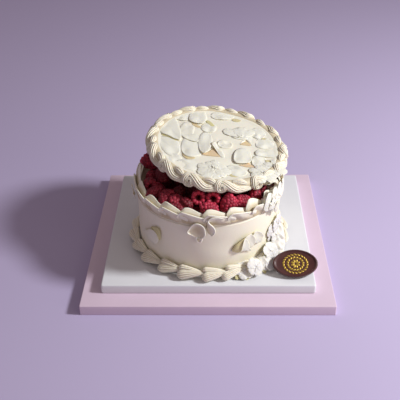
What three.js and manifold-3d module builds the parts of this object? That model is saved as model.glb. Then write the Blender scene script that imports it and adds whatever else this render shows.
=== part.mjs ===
// A round cream cake cut open near its top: a ring of raspberries lies on the body, and a cream
// lid with a scrolled border leans on them. It stands on a white drum board, on a thinner coloured
// board. Millimetres, +Z up, -Y is the front. The origin is the middle of the lower board's underside.
import * as THREE from "three";
import { mergeVertices } from "three/addons/utils/BufferGeometryUtils.js";
import Module from "manifold-3d";

const wasm = await Module();
wasm.setup();

// ---- driving dimensions ----
const gap = 0.4; // clearance between pieces that touch
const baseBoard = { side: 300, thickness: 13, corner: 1.5 };
const drumBoard = { side: 255, thickness: 12, corner: 2.5, x: 0.7, y: 1.1 };
const cake = { x: 1, y: -20, radius: 89, height: 76, edge: 4 };
const ruffle = { folds: 20, firstFold: 257, inner: 79.5, outer: 93, height: 14 };
const shells = { count: 26, firstShell: 262, outer: 103, height: 15 };
const lid = { x: 12, y: 6, z: 138.5, pitch: 5.58, roll: 7.45, radius: 72, below: 8.5, above: 5 };
const scrolls = { count: 12, firstScroll: 274, outer: 89, halfHeight: 9 };
const berry = { radius: 7.7, length: 17.5, hollow: 3, sides: 8, rows: 5 };
const heap = { radius: 56, frontRadius: 38, front: 262, frontSpread: 52, lumps: 11, lump: 3 };
const petal = { thickness: 2.2, sides: 8, rows: 6 };
const plaque = { width: 54, height: 34.5, thickness: 5, lean: 35, x: 105, y: -114 };

const drumTop = baseBoard.thickness + drumBoard.thickness;

// ---- colours and finishes ----
const cream = { color: 0xf1e9dc, roughness: 0.62, metalness: 0 };
const petalWhite = { color: 0xf4f2ea, roughness: 0.5, metalness: 0 };
const fruit = { color: 0x9b1730, roughness: 0.35, metalness: 0 };
const chocolate = { color: 0x3c2023, roughness: 0.35, metalness: 0 };
const whiteCard = { color: 0xeceaf0, roughness: 0.45, metalness: 0 };
const lilacCard = { color: 0xd8b9d2, roughness: 0.5, metalness: 0 };

// ---- places of the single pieces ----
// Raspberries: turn round the cake in degrees, distance from its axis, height of the middle above
// the body's top, and where the open end looks: a turn in degrees and a rise in degrees.
const berries = [
  { turn: 172, out: 72, up: 23, look: 150, rise: 30 },
  { turn: 173, out: 68, up: 9, look: 300, rise: -40 },
  { turn: 186, out: 70.5, up: 15, look: 60, rise: -50 },
  { turn: 203, out: 69, up: 9, look: 40, rise: -60 },
  { turn: 191, out: 54, up: 12, look: 100, rise: -60 },
  { turn: 219, out: 67, up: 9, look: 330, rise: 10 },
  { turn: 234.5, out: 69, up: 11, look: 80, rise: -30 },
  { turn: 227, out: 50, up: 10, look: 200, rise: -70 },
  { turn: 248, out: 66, up: 9, look: 130, rise: -20 },
  { turn: 257.5, out: 50, up: 11, look: 268, rise: 25 },
  { turn: 278.5, out: 51, up: 11, look: 262, rise: 22 },
  { turn: 269, out: 70, up: 9, look: 20, rise: -30 },
  { turn: 288.5, out: 67.5, up: 9.5, look: 40, rise: 35 },
  { turn: 308, out: 66, up: 9, look: 200, rise: -15 },
  { turn: 326, out: 68, up: 9, look: 250, rise: -60 },
];
// The ring goes on round the side that leans open at the back.
const backBerries = { count: 9, from: 22, to: 157, out: 68, up: 9 };

// Petals stuck to the wall, the rim and the foot: turn, height above the drum board, radius of what
// the petal's back rests on, width, length, cup depth, the way the length points (0 is up), and how
// far its upper end opens away from the cake.
const sidePetals = [
  { name: "rim_petal_left", turn: 188, up: 74, on: 92.5, width: 15, length: 19, cup: 3, spin: 10, open: 8 },
  { name: "wall_petal_left", turn: 219, up: 43, on: 89, width: 18, length: 21, cup: 3, spin: -35, open: 4 },
  { name: "wall_petal_shaded", turn: 292, up: 40, on: 89, width: 11, length: 20, cup: 3, spin: -40, open: 8 },
  { name: "wall_petal_middle", turn: 301, up: 41, on: 89, width: 16, length: 17, cup: 4, spin: 15, open: 14 },
  { name: "wall_petal_upper", turn: 311, up: 46, on: 89, width: 14, length: 16, cup: 4, spin: 25, open: 10 },
  { name: "rim_petal_right", turn: 327, up: 83, on: 92.5, width: 13, length: 24, cup: 3, spin: 5, open: 4 },
  { name: "foot_petal_side", turn: 336, up: 42, on: 89, width: 18, length: 26, cup: 4, spin: 0, open: 6 },
  { name: "foot_petal_right", turn: 320, up: 20, on: 96, width: 19, length: 20, cup: 4, spin: -10, open: 12 },
  { name: "foot_petal_front", turn: 303, up: 13, on: 100, width: 21, length: 17, cup: 4, spin: 5, open: -20 },
  { name: "foot_petal_corner", turn: 315, up: 9, on: 103, width: 12, length: 15, cup: 3, spin: 0, open: -30 },
];

// Petals on the lid: place in the lid's own plane, width, length, cup depth, the way the length
// points, how far that end is lifted, and how high above the lid's cream the petal rests.
const lidPetals = [
  { name: "lid_petal_west", x: -33, y: -17, width: 25, length: 28, cup: 4, spin: 200, tilt: 6, up: 0 },
  { name: "lid_petal_tuft", x: -13, y: 2, width: 17, length: 19, cup: 5, spin: 170, tilt: 32, up: 0 },
  { name: "lid_petal_blade", x: -1, y: -14, width: 10, length: 20, cup: 4, spin: 215, tilt: 18, up: 0 },
  { name: "lid_petal_middle", x: 11, y: 4, width: 21, length: 20, cup: 5, spin: 330, tilt: 6, up: 0 },
  { name: "lid_petal_east", x: 31, y: -19, width: 20, length: 23, cup: 4, spin: 190, tilt: 14, up: 0 },
  { name: "lid_petal_far_east", x: 49, y: -29, width: 19, length: 22, cup: 4, spin: 220, tilt: 10, up: 0 },
  { name: "lid_petal_crown", x: 36, y: 6, width: 22, length: 20, cup: 4, spin: 20, tilt: 10, up: 0 },
  { name: "lid_petal_south", x: -6, y: -54, width: 30, length: 25, cup: 5, spin: 180, tilt: 5, up: 0 },
  { name: "lid_petal_north", x: -24, y: 58, width: 23, length: 24, cup: 6, spin: 10, tilt: 25, up: 0 },
  { name: "lid_petal_north_west", x: -55, y: 26, width: 26, length: 33, cup: 4, spin: 40, tilt: 8, up: 1 },
  { name: "lid_petal_fold", x: -36, y: 38, width: 18, length: 27, cup: 4, spin: 20, tilt: 10, up: 0 },
  { name: "lid_petal_inner", x: -37, y: 9, width: 21, length: 24, cup: 4, spin: 110, tilt: 8, up: 0 },
  { name: "lid_petal_flat", x: 33, y: 33, width: 24, length: 18, cup: 3, spin: 60, tilt: 5, up: 0 },
  { name: "lid_petal_back", x: 9, y: 74, width: 24, length: 17, cup: 4, spin: 0, tilt: 8, up: 3 },
];

// ---- helpers ----
const radians = THREE.MathUtils.degToRad;

// How far an angle lies from the middle of the nearest of `count` equal parts of the turn, -1 to 1.
function partOfTurn(degrees, first, count) {
  const part = ((degrees - first) * count) / 360;
  return 2 * (part - Math.round(part));
}

function positionsOnly(geometry) {
  const bare = geometry.clone();
  bare.deleteAttribute("normal");
  bare.deleteAttribute("uv");
  return mergeVertices(bare, 1e-4);
}

// The geometry grown by `amount` along its vertex normals.
function grown(geometry, amount) {
  const big = positionsOnly(geometry);
  big.computeVertexNormals();
  const { position, normal } = big.attributes;
  for (let i = 0; i < position.count; i++) {
    position.setXYZ(
      i,
      position.getX(i) + amount * normal.getX(i),
      position.getY(i) + amount * normal.getY(i),
      position.getZ(i) + amount * normal.getZ(i),
    );
  }
  return big;
}

function toSolid(geometry) {
  const merged = positionsOnly(geometry);
  const vertProperties = merged.attributes.position.array;
  const triVerts = new Uint32Array(merged.index.array);
  return new wasm.Manifold(new wasm.Mesh({ numProp: 3, vertProperties, triVerts }));
}

function toGeometry(solid) {
  const cut = solid.getMesh();
  const geometry = new THREE.BufferGeometry();
  geometry.setAttribute("position", new THREE.BufferAttribute(cut.vertProperties, 3));
  geometry.setIndex(new THREE.BufferAttribute(cut.triVerts, 1));
  geometry.computeVertexNormals();
  return geometry;
}

function meshOf(name, geometry, finish) {
  const mesh = new THREE.Mesh(geometry, new THREE.MeshStandardMaterial(finish));
  mesh.name = name;
  return mesh;
}

// A closed profile turned round Z. Each profile point is { r, z, out, rise }, and wave(degrees)
// returns { out, rise }, by which the point moves outwards and upwards at that angle.
function wavyRing(profile, segments, wave) {
  const closed = [...profile, profile[0]];
  const points = closed.map((p) => new THREE.Vector2(p.r, p.z));
  const geometry = new THREE.LatheGeometry(points, segments);
  const position = geometry.attributes.position;
  for (let i = 0; i < position.count; i++) {
    const at = closed[i % closed.length];
    const degrees = (360 * Math.floor(i / closed.length)) / segments;
    const moved = wave(degrees);
    const r = at.r + (at.out || 0) * moved.out;
    const z = at.z + (at.rise || 0) * moved.rise;
    const angle = radians(degrees % 360);
    position.setXYZ(i, r * Math.cos(angle), r * Math.sin(angle), z);
  }
  return turnedOut(geometry);
}

// Swaps each triangle's winding, so that the faces of a profile listed clockwise look outwards.
function turnedOut(geometry) {
  const index = geometry.index;
  for (let i = 0; i < index.count; i += 3) {
    const second = index.getX(i + 1);
    index.setX(i + 1, index.getX(i + 2));
    index.setX(i + 2, second);
  }
  return geometry;
}

function squareBoard(name, board, finish) {
  const half = board.side / 2;
  const inner = half - board.corner;
  const outline = new THREE.Shape();
  outline.moveTo(-inner, -half);
  outline.absarc(inner, -inner, board.corner, -Math.PI / 2, 0);
  outline.absarc(inner, inner, board.corner, 0, Math.PI / 2);
  outline.absarc(-inner, inner, board.corner, Math.PI / 2, Math.PI);
  outline.absarc(-inner, -inner, board.corner, Math.PI, 1.5 * Math.PI);
  const settings = { depth: board.thickness, bevelEnabled: false, curveSegments: 3 };
  return meshOf(name, new THREE.ExtrudeGeometry(outline, settings), finish);
}

// ---- the cake ----
function cakeBody() {
  const { radius, height, edge } = cake;
  const profile = [new THREE.Vector2(0, 0), new THREE.Vector2(radius, 0)];
  for (let step = 0; step <= 2; step++) {
    const bend = (step * Math.PI) / 4;
    profile.push(
      new THREE.Vector2(radius - edge * (1 - Math.cos(bend)), height - edge * (1 - Math.sin(bend))),
    );
  }
  profile.push(new THREE.Vector2(0, height));
  const body = new THREE.LatheGeometry(profile, 64);
  body.rotateX(Math.PI / 2);
  return meshOf("cake_body", body, cream);
}

// A ribbon piped twice round the rim: rounded scallops stand up on top, and a thinner wavy lip
// hangs over the wall under them.
function rimRuffle() {
  const { inner, outer, height } = ruffle;
  const profile = [
    { r: inner, z: gap },
    { r: inner - 1, z: height - 6, rise: 1 },
    { r: inner + 1, z: height - 3, rise: 1, out: -1 },
    { r: inner + 4, z: height - 3.5, rise: 1, out: -0.5 },
    { r: outer - 5, z: 5, rise: 0.3 },
    { r: outer - 1, z: 2.5, out: 1 },
    { r: outer - 1.5, z: -1.5, out: 1 },
    { r: outer - 3.2, z: -2.5 },
    { r: cake.radius + gap, z: gap },
  ];
  const wave = (degrees) => {
    const across = partOfTurn(degrees, ruffle.firstFold, ruffle.folds);
    return { out: 1.4 * Math.cos(Math.PI * across + 1), rise: 4.5 * Math.cos((Math.PI / 2) * across) };
  };
  return meshOf("rim_ruffle", wavyRing(profile, ruffle.folds * 4, wave), cream);
}

// Shells piped round the foot: each swells quickly to its full head and tapers to a tail.
function bottomBorder() {
  const { outer, height } = shells;
  const wall = cake.radius + gap;
  const profile = [
    { r: wall, z: 0 },
    { r: wall, z: height, rise: 0.6 },
    { r: wall + 3, z: height - 0.5, rise: 1 },
    { r: outer - 5.5, z: height - 4.5, rise: 1, out: 0.7 },
    { r: outer - 1, z: 6, out: 1, rise: 0.4 },
    { r: outer - 1.5, z: 0, out: 1 },
  ];
  const wave = (degrees) => {
    const along = (1 + partOfTurn(degrees, shells.firstShell, shells.count)) / 2;
    const head = Math.sin(Math.PI * Math.pow(along, 0.6));
    return { out: 3 * head - 2, rise: 3 * head - 2 };
  };
  return meshOf("bottom_border", wavyRing(profile, shells.count * 4, wave), cream);
}

// ---- the lid ----
function lidDisc() {
  const profile = [
    new THREE.Vector2(0, -lid.below),
    new THREE.Vector2(lid.radius, -lid.below),
    new THREE.Vector2(lid.radius, lid.above),
    new THREE.Vector2(0, lid.above),
  ];
  const disc = new THREE.LatheGeometry(profile, 48);
  disc.rotateX(Math.PI / 2);
  return meshOf("lid", disc, cream);
}

function lidBorder() {
  const { outer, halfHeight } = scrolls;
  const profile = [
    { r: lid.radius + gap, z: -halfHeight + 0.5 },
    { r: lid.radius + gap, z: halfHeight - 3, rise: 0.5 },
    { r: outer - 11, z: halfHeight - 1, rise: 1 },
    { r: outer - 4, z: halfHeight - 2.5, rise: 0.7, out: 0.6 },
    { r: outer, z: 1, out: 1 },
    { r: outer - 3, z: -6, out: 1 },
    { r: outer - 9, z: -halfHeight },
  ];
  const wave = (degrees) => {
    const across = partOfTurn(degrees, scrolls.firstScroll, scrolls.count);
    const swell = Math.cos(Math.PI * across);
    return { out: 0.9 * swell - 0.9, rise: 0.8 * swell };
  };
  return meshOf("lid_border", wavyRing(profile, scrolls.count * 8, wave), cream);
}

// ---- fruit ----
// One raspberry with its hollow at -Z and its tip at +Z. The sides bulge where the beads lie.
function berryGeometry() {
  const { radius, length, hollow, sides, rows } = berry;
  const profile = [new THREE.Vector2(0, 0), new THREE.Vector2(hollow, -length / 2 + 0.8)];
  for (let row = 0; row < rows; row++) {
    const climb = (row + 0.35) / (rows - 0.15);
    const r = radius * Math.pow(Math.cos((climb - 0.28) * 1.95), 0.6);
    profile.push(new THREE.Vector2(r, length * (climb - 0.5)));
  }
  profile.push(new THREE.Vector2(0, length / 2));
  const geometry = new THREE.LatheGeometry(profile, sides);
  geometry.rotateX(Math.PI / 2);
  return geometry;
}

// A raspberry whose open end looks along the turn and the rise, both in degrees.
function placedBerry(name, place) {
  const mesh = meshOf(name, berryGeometry(), fruit);
  const turn = radians(place.turn);
  mesh.position.set(place.out * Math.cos(turn), place.out * Math.sin(turn), cake.height + place.up);
  const look = new THREE.Vector3().setFromSphericalCoords(1, radians(90 - place.rise), 0);
  look.set(look.z * Math.cos(radians(place.look)), look.z * Math.sin(radians(place.look)), look.y);
  mesh.quaternion.setFromUnitVectors(new THREE.Vector3(0, 0, -1), look);
  return mesh;
}

// The fruit under the lid, as one heap out to its lumpy outline. Its top follows the lid's underside.
function berryHeap(undersideAt) {
  const steps = 5;
  const profile = [new THREE.Vector2(0, 0)];
  for (let step = 0; step <= steps; step++) profile.push(new THREE.Vector2(1, step / steps));
  profile.push(new THREE.Vector2(0.5, 1), new THREE.Vector2(0, 1));
  const geometry = new THREE.LatheGeometry(profile, 36);
  geometry.rotateX(Math.PI / 2);
  const position = geometry.attributes.position;
  for (let i = 0; i < position.count; i++) {
    const angle = Math.atan2(position.getY(i), position.getX(i));
    const away = THREE.MathUtils.euclideanModulo((angle * 180) / Math.PI - heap.front + 180, 360) - 180;
    const nearFront = Math.exp(-((away / heap.frontSpread) ** 4));
    const reach = heap.radius + (heap.frontRadius - heap.radius) * nearFront;
    const bumps = heap.lump * Math.sin(heap.lumps * angle + 5 * position.getZ(i));
    const r = Math.hypot(position.getX(i), position.getY(i)) * (reach + bumps);
    const x = r * Math.cos(angle);
    const y = r * Math.sin(angle);
    const top = undersideAt(x, y) - gap - cake.height - Math.abs(bumps) * 0.6;
    position.setXYZ(i, x, y, cake.height + gap + position.getZ(i) * (top - gap));
  }
  return meshOf("berry_heap", geometry, fruit);
}

// ---- petals ----
// A flattened round leaf in the XY plane, its length along Y, cupped towards +Z.
function petalGeometry({ width, length, cup }) {
  const geometry = new THREE.SphereGeometry(1, petal.sides, petal.rows);
  geometry.rotateX(Math.PI / 2);
  const position = geometry.attributes.position;
  for (let i = 0; i < position.count; i++) {
    const x = position.getX(i);
    const y = position.getY(i);
    const bend = cup * (x * x + y * y - 0.5);
    position.setXYZ(i, (x * width) / 2, (y * length) / 2, (position.getZ(i) * petal.thickness) / 2 + bend);
  }
  return geometry;
}

// A petal on the wall, its back to the cake: spun in the wall's plane, then opened at its upper end.
function sidePetal(place) {
  const leaf = meshOf(place.name, petalGeometry(place), petalWhite);
  leaf.geometry.rotateZ(radians(place.spin));
  leaf.geometry.rotateX(radians(place.open));
  leaf.geometry.computeBoundingBox();
  const alongWall = new THREE.Vector3(0, 1, 0);
  const upWall = new THREE.Vector3(0, 0, 1);
  const outwards = new THREE.Vector3(1, 0, 0);
  leaf.quaternion.setFromRotationMatrix(new THREE.Matrix4().makeBasis(alongWall, upWall, outwards));
  leaf.position.set(place.on + gap - leaf.geometry.boundingBox.min.z, 0, place.up);
  const holder = new THREE.Group();
  holder.rotation.z = radians(place.turn);
  holder.add(leaf);
  return holder;
}

// A petal that rests on the lid by its lowest point, one end lifted.
function lidPetal(place) {
  const leaf = meshOf(place.name, petalGeometry(place), petalWhite);
  leaf.geometry.rotateX(radians(place.tilt));
  leaf.geometry.computeBoundingBox();
  leaf.position.set(place.x, place.y, lid.above + gap + place.up - leaf.geometry.boundingBox.min.z);
  leaf.rotation.z = radians(place.spin);
  return leaf;
}

// ---- the ribbon end that hangs over the front ----
function frontDrape() {
  const drape = meshOf("front_drape", petalGeometry({ width: 20, length: 26, cup: -3.5 }), cream);
  const holder = new THREE.Group();
  holder.rotation.z = radians(262.5);
  drape.position.set(92.6, 0, 66);
  drape.rotation.set(Math.PI / 2, Math.PI / 2, 0);
  holder.add(drape);
  return holder;
}

function drapeLoop() {
  const section = new THREE.Shape();
  section.absarc(0, 0, 1.5, 0, 2 * Math.PI);
  const route = new THREE.CatmullRomCurve3([
    new THREE.Vector3(1.9, -5.5, 4),
    new THREE.Vector3(2.4, 0, 3),
    new THREE.Vector3(2.2, 2.6, -4),
    new THREE.Vector3(1.8, 0.5, -11),
    new THREE.Vector3(1.6, -3.5, -13),
  ]);
  const settings = { steps: 10, extrudePath: route, curveSegments: 4, bevelEnabled: false };
  const loop = meshOf("drape_loop", new THREE.ExtrudeGeometry(section, settings), cream);
  loop.position.set(cake.radius, 0, 71);
  const holder = new THREE.Group();
  holder.rotation.z = radians(273);
  holder.add(loop);
  return holder;
}

// ---- the chocolate plaque ----
// A lens-shaped tablet with a raised rim, leaning back on a dab of cream.
function chocolatePlaque() {
  const profile = [
    new THREE.Vector2(0, 0),
    new THREE.Vector2(0.94, 0),
    new THREE.Vector2(1, 1.2),
    new THREE.Vector2(1, plaque.thickness - 1),
    new THREE.Vector2(0.96, plaque.thickness),
    new THREE.Vector2(0.89, plaque.thickness),
    new THREE.Vector2(0.85, plaque.thickness - 1.4),
    new THREE.Vector2(0, plaque.thickness - 1.4),
  ];
  const tablet = new THREE.LatheGeometry(profile, 36);
  tablet.rotateX(Math.PI / 2);
  tablet.scale(plaque.width / 2, plaque.height / 2, 1);
  const mesh = meshOf("plaque", tablet, chocolate);
  mesh.position.set(0, plaque.height / 2, 0);
  const lean = new THREE.Group();
  lean.rotation.x = radians(plaque.lean);
  lean.position.set(plaque.x, plaque.y, drumTop + gap);
  lean.add(mesh);
  return lean;
}

function plaqueDab() {
  const tall = 15;
  const profile = [
    new THREE.Vector2(0, 0),
    new THREE.Vector2(9, 0),
    new THREE.Vector2(9.5, 3),
    new THREE.Vector2(7, tall - 4),
    new THREE.Vector2(3, tall),
    new THREE.Vector2(0, tall),
  ];
  const dab = new THREE.LatheGeometry(profile, 14);
  dab.rotateX(Math.PI / 2);
  const mesh = meshOf("plaque_dab", dab, cream);
  mesh.position.set(plaque.x, plaque.y + 22, drumTop);
  return mesh;
}

// ---- putting it together ----
const root = new THREE.Group();
const settled = []; // solids already in place, in the root's frame, each grown by the gap

// Adds a branch to the model and cuts its meshes back from everything that is already there.
function settle(parent, branch) {
  parent.add(branch);
  root.updateMatrixWorld(true);
  branch.traverse((mesh) => {
    if (!mesh.isMesh) return;
    const inPlace = mesh.geometry.clone().applyMatrix4(mesh.matrixWorld);
    let solid = toSolid(inPlace);
    const before = solid.volume();
    for (const other of settled) {
      if (solid.intersect(other).volume() > 0) solid = solid.subtract(other);
    }
    if (solid.volume() < before) {
      const largest = solid.decompose().sort((a, b) => b.volume() - a.volume())[0];
      mesh.geometry = toGeometry(largest).applyMatrix4(mesh.matrixWorld.clone().invert());
    }
    settled.push(toSolid(grown(inPlace, gap)));
  });
}

const lower = squareBoard("base_board", baseBoard, lilacCard);
const upper = squareBoard("drum_board", drumBoard, whiteCard);
upper.position.set(drumBoard.x, drumBoard.y, baseBoard.thickness);
root.add(lower, upper);

const cakeGroup = new THREE.Group();
cakeGroup.position.set(cake.x, cake.y, drumTop);
root.add(cakeGroup);
settle(cakeGroup, cakeBody());
const rim = rimRuffle();
rim.position.z = cake.height;
settle(cakeGroup, rim);
settle(cakeGroup, bottomBorder());

const lidGroup = new THREE.Group();
lidGroup.position.set(lid.x, lid.y, lid.z);
lidGroup.rotation.set(radians(lid.pitch), radians(lid.roll), 0, "YXZ");
root.add(lidGroup);
settle(lidGroup, lidDisc());
settle(lidGroup, lidBorder());

berries.forEach((place, i) => {
  settle(cakeGroup, placedBerry("berry_" + String(i + 1).padStart(2, "0"), place));
});
for (let i = 0; i < backBerries.count; i++) {
  const turn = backBerries.from + ((backBerries.to - backBerries.from) * i) / (backBerries.count - 1);
  const place = { ...backBerries, turn, look: 97 * i, rise: -55 + 35 * (i % 4) };
  settle(cakeGroup, placedBerry("berry_back_" + (i + 1), place));
}

// The height of the lid's underside above the drum board, over a point of the cake's own frame.
const up = new THREE.Vector3(0, 0, 1).applyEuler(lidGroup.rotation);
function undersideAt(x, y) {
  const away = up.x * (x + cake.x - lid.x) + up.y * (y + cake.y - lid.y) + lid.below + 2 * gap;
  return lid.z - drumTop - away / up.z;
}
settle(cakeGroup, berryHeap(undersideAt));

settle(cakeGroup, frontDrape());
settle(cakeGroup, drapeLoop());
sidePetals.forEach((place) => settle(cakeGroup, sidePetal(place)));
lidPetals.forEach((place) => settle(lidGroup, lidPetal(place)));

settle(root, plaqueDab());
settle(root, chocolatePlaque());

export default root;
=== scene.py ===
import math

import bpy
import numpy as np
from mathutils import Matrix, Vector


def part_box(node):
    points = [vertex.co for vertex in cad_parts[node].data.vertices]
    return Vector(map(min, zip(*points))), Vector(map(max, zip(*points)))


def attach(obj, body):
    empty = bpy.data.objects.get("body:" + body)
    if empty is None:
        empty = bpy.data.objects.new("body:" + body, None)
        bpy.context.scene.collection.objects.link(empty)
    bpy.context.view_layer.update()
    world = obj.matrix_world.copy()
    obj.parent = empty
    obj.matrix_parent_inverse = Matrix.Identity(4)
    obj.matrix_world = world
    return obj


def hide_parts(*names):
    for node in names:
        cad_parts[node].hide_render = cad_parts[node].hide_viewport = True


# A cream cake with a tilted lid over raspberries, on two square boards. Metres, +Z up, -Y the front.
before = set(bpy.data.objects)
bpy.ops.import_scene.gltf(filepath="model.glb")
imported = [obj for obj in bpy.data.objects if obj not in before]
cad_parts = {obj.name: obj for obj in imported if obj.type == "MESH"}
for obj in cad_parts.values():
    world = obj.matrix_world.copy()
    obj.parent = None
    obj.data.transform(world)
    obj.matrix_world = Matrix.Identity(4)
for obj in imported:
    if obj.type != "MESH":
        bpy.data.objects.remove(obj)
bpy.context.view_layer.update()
print("frame loaded:", len(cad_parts), "nodes")

mm = 0.001
turn = 2 * math.pi


def xyz(x, y, z):
    # Points of three coordinates, each a number or a grid.
    return np.stack(np.broadcast_arrays(x, y, z), -1)


def roundTurn(count):
    # That many equal angles round a whole turn.
    return np.linspace(0, turn, count, endpoint=False)


def gridQuads(rows, columns, bands):
    # Quads between each closed row of points and the next, for that many bands; the row after the last one
    # is the first.
    row, column = np.meshgrid(np.arange(bands), np.arange(columns), indexing="ij")
    nextRow, nextColumn = (row + 1) % rows, (column + 1) % columns
    return np.stack([row * columns + column, row * columns + nextColumn,
                     nextRow * columns + nextColumn, nextRow * columns + column], -1).reshape(-1, 4)


# A shape is a dictionary of points, quads and triangles, with one number per point for each mark
# that a material reads.
def tube(points, marks=None):
    # Rows of closed rings, joined by quads and closed at both ends by a fan round the ring's mean.
    rows, columns, _ = points.shape
    around = np.arange(columns)
    first, last = rows * columns, rows * columns + 1
    lastRing = (rows - 1) * columns
    startFan = np.stack([np.full(columns, first), (around + 1) % columns, around], -1)
    endFan = np.stack([np.full(columns, last), lastRing + around, lastRing + (around + 1) % columns], -1)
    shape = {
        "points": np.vstack([points.reshape(-1, 3), points[0].mean(0), points[-1].mean(0)]),
        "quads": gridQuads(rows, columns, rows - 1),
        "tris": np.vstack([startFan, endFan]),
        "marks": {},
    }
    for name, values in (marks or {}).items():
        values = np.broadcast_to(values, (rows, columns))
        shape["marks"][name] = np.concatenate([values.ravel(), [values[0].mean(), values[-1].mean()]])
    return facingOut(shape)


def facingOut(shape):
    # The volume is a sum of triple products over the faces; a negative one means the faces look in.
    q, t = shape["quads"], shape["tris"]
    p = shape["points"] - shape["points"].mean(0)
    corners = np.vstack([q[:, [0, 1, 2]], q[:, [0, 2, 3]], t])
    a, b, c = (p[corners[:, k]] for k in range(3))
    if np.einsum("ij,ij->i", a, np.cross(b, c)).sum() < 0:
        shape["quads"], shape["tris"] = q[:, ::-1], t[:, ::-1]
    return shape


def joined(shapes):
    # One shape of many, each one's face numbers moved on by the points before it.
    names = sorted({name for shape in shapes for name in shape["marks"]})
    starts = np.cumsum([0] + [len(shape["points"]) for shape in shapes])
    marks = {}
    for name in names:
        marks[name] = np.concatenate([s["marks"].get(name, np.zeros(len(s["points"]))) for s in shapes])
    return {
        "points": np.vstack([s["points"] for s in shapes]),
        "quads": np.vstack([s["quads"] + start for s, start in zip(shapes, starts)]),
        "tris": np.vstack([s["tris"] + start for s, start in zip(shapes, starts)]),
        "marks": marks,
    }


def moved(shape, axes, origin=(0, 0, 0)):
    # Every point becomes origin + x * first axis + y * second axis + z * third axis.
    return {**shape, "points": shape["points"] @ np.asarray(axes) + np.asarray(origin)}


def copies(template, centres, axes, sizes, marks):
    # Many small copies of one shape: copy k is centre k + size k * (template turned by axes k).
    count, each = len(centres), len(template["points"])
    points = centres[:, None] + sizes[:, None, None] * (template["points"] @ axes)
    step = np.arange(count)[:, None, None] * each
    return {
        "points": points.reshape(-1, 3),
        "quads": (template["quads"] + step).reshape(-1, 4),
        "tris": (template["tris"] + step).reshape(-1, 3),
        "marks": {name: np.repeat(values, each) for name, values in marks.items()},
    }


def inScene(name, data):
    thing = bpy.data.objects.new(name, data)
    bpy.context.scene.collection.objects.link(thing)
    return thing


def addPiece(name, shape, material, nodes=()):
    mesh = bpy.data.meshes.new(name)
    mesh.from_pydata(shape["points"].tolist(), [], shape["quads"].tolist() + shape["tris"].tolist())
    mesh.polygons.foreach_set("use_smooth", np.ones(len(mesh.polygons), bool))
    for mark, values in shape["marks"].items():
        mesh.attributes.new(mark, "FLOAT", "POINT").data.foreach_set("value", values.astype(np.float32))
    mesh.materials.append(material)
    mesh.validate()
    piece = inScene(name, mesh)
    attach(piece, "root")
    if nodes:
        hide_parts(*nodes)
    return piece


def smooth(value, low, high):
    # 0 below low, 1 above high, and 3t^2 - 2t^3 between.
    t = np.clip((value - low) / (high - low), 0, 1)
    return t * t * (3 - 2 * t)


def ripple(a, b, seed):
    # A sum of five sine waves of two parameters, each with its own beats and phase, about -1 to 1. The first
    # beat is a whole number, so that the ripple closes round a circle.
    random = np.random.default_rng(seed)
    waves = 5
    total = np.zeros(np.broadcast(a, b).shape)
    for _ in range(waves):
        beatA, beatB = random.integers(1, 7), random.uniform(0.5, 5)
        total = total + np.sin(beatA * a + beatB * b + random.uniform(0, turn)) / math.sqrt(waves)
    return total


def unit(vectors):
    return vectors / np.maximum(np.linalg.norm(vectors, axis=-1, keepdims=True), 1e-12)


def cubic(f, first, leave, last, arrive):
    # The cubic from one point to another that leaves and arrives with those slopes, at a share f of the way.
    return ((2 * f ** 3 - 3 * f ** 2 + 1) * first + (f ** 3 - 2 * f ** 2 + f) * leave
            + (3 * f ** 2 - 2 * f ** 3) * last + (f ** 3 - f ** 2) * arrive)


def curveThrough(points, count):
    # A smooth curve through the points: a cubic between each two, with slopes along their neighbours.
    points = np.asarray(points, float)
    slopes = np.gradient(points, axis=0)
    along = np.linspace(0, len(points) - 1, count)
    k = np.minimum(along.astype(int), len(points) - 2)
    return cubic((along - k)[:, None], points[k], slopes[k], points[k + 1], slopes[k + 1])


def upwards(count):
    # The same way up for each of that many points.
    return np.broadcast_to((0.0, 0.0, 1.0), (count, 3))


def sweep(path, lifts, radii, ridges=3, depth=0.0, twist=0.0, columns=36):
    # A star-shaped rope: at each path point a ring of radius * (1 - depth * (1 - |sin(ridges * angle / 2)|)),
    # its up direction the given lift made square to the path, turned by twist along the way.
    tangent = unit(np.gradient(path, axis=0))
    side = unit(np.cross(lifts, tangent))
    up = np.cross(tangent, side)
    angle = roundTurn(columns)[None, :]
    spin = twist * np.linspace(0, 1, len(path))[:, None]
    groove = np.abs(np.sin(ridges * (angle + spin) / 2))
    cut = np.broadcast_to(depth, len(path))[:, None]
    reach = np.asarray(radii)[:, None] * (1 - cut * (1 - groove))
    points = (path[:, None] + (reach * np.cos(angle))[..., None] * side[:, None]
              + (reach * np.sin(angle))[..., None] * up[:, None])
    # The crease mark paints shade into the grooves between the ridges, darkest at their bottoms.
    return tube(points, {"crease": (1 - groove) ** 1.6 * (cut > 0) * np.ones_like(reach)})


def sheet(middle, thickness, marks=None):
    # A thin closed skin round a grid of middle points: each row's ring runs across the front, offset
    # by half the thickness along the surface normal, and back across the rear. Edges are rounded.
    normal = unit(np.cross(np.gradient(middle, axis=0), np.gradient(middle, axis=1)))
    rows, columns, _ = middle.shape
    s = np.linspace(-1, 1, columns)[None, :]
    w = np.linspace(-1, 1, rows)[:, None]
    plump = np.sqrt(np.clip(1 - s ** 10, 0.02, 1)) * np.sqrt(np.clip(1 - w ** 14, 0.02, 1))
    half = (0.5 * thickness * plump)[..., None] * normal
    doubled = {"under": np.hstack([np.zeros((rows, columns)), np.ones((rows, columns))])}
    for name, values in (marks or {}).items():
        grid = np.broadcast_to(values, (rows, columns))
        doubled[name] = np.hstack([grid, grid[:, ::-1]])
    return tube(np.concatenate([middle + half, (middle - half)[:, ::-1]], axis=1), doubled)


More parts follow.
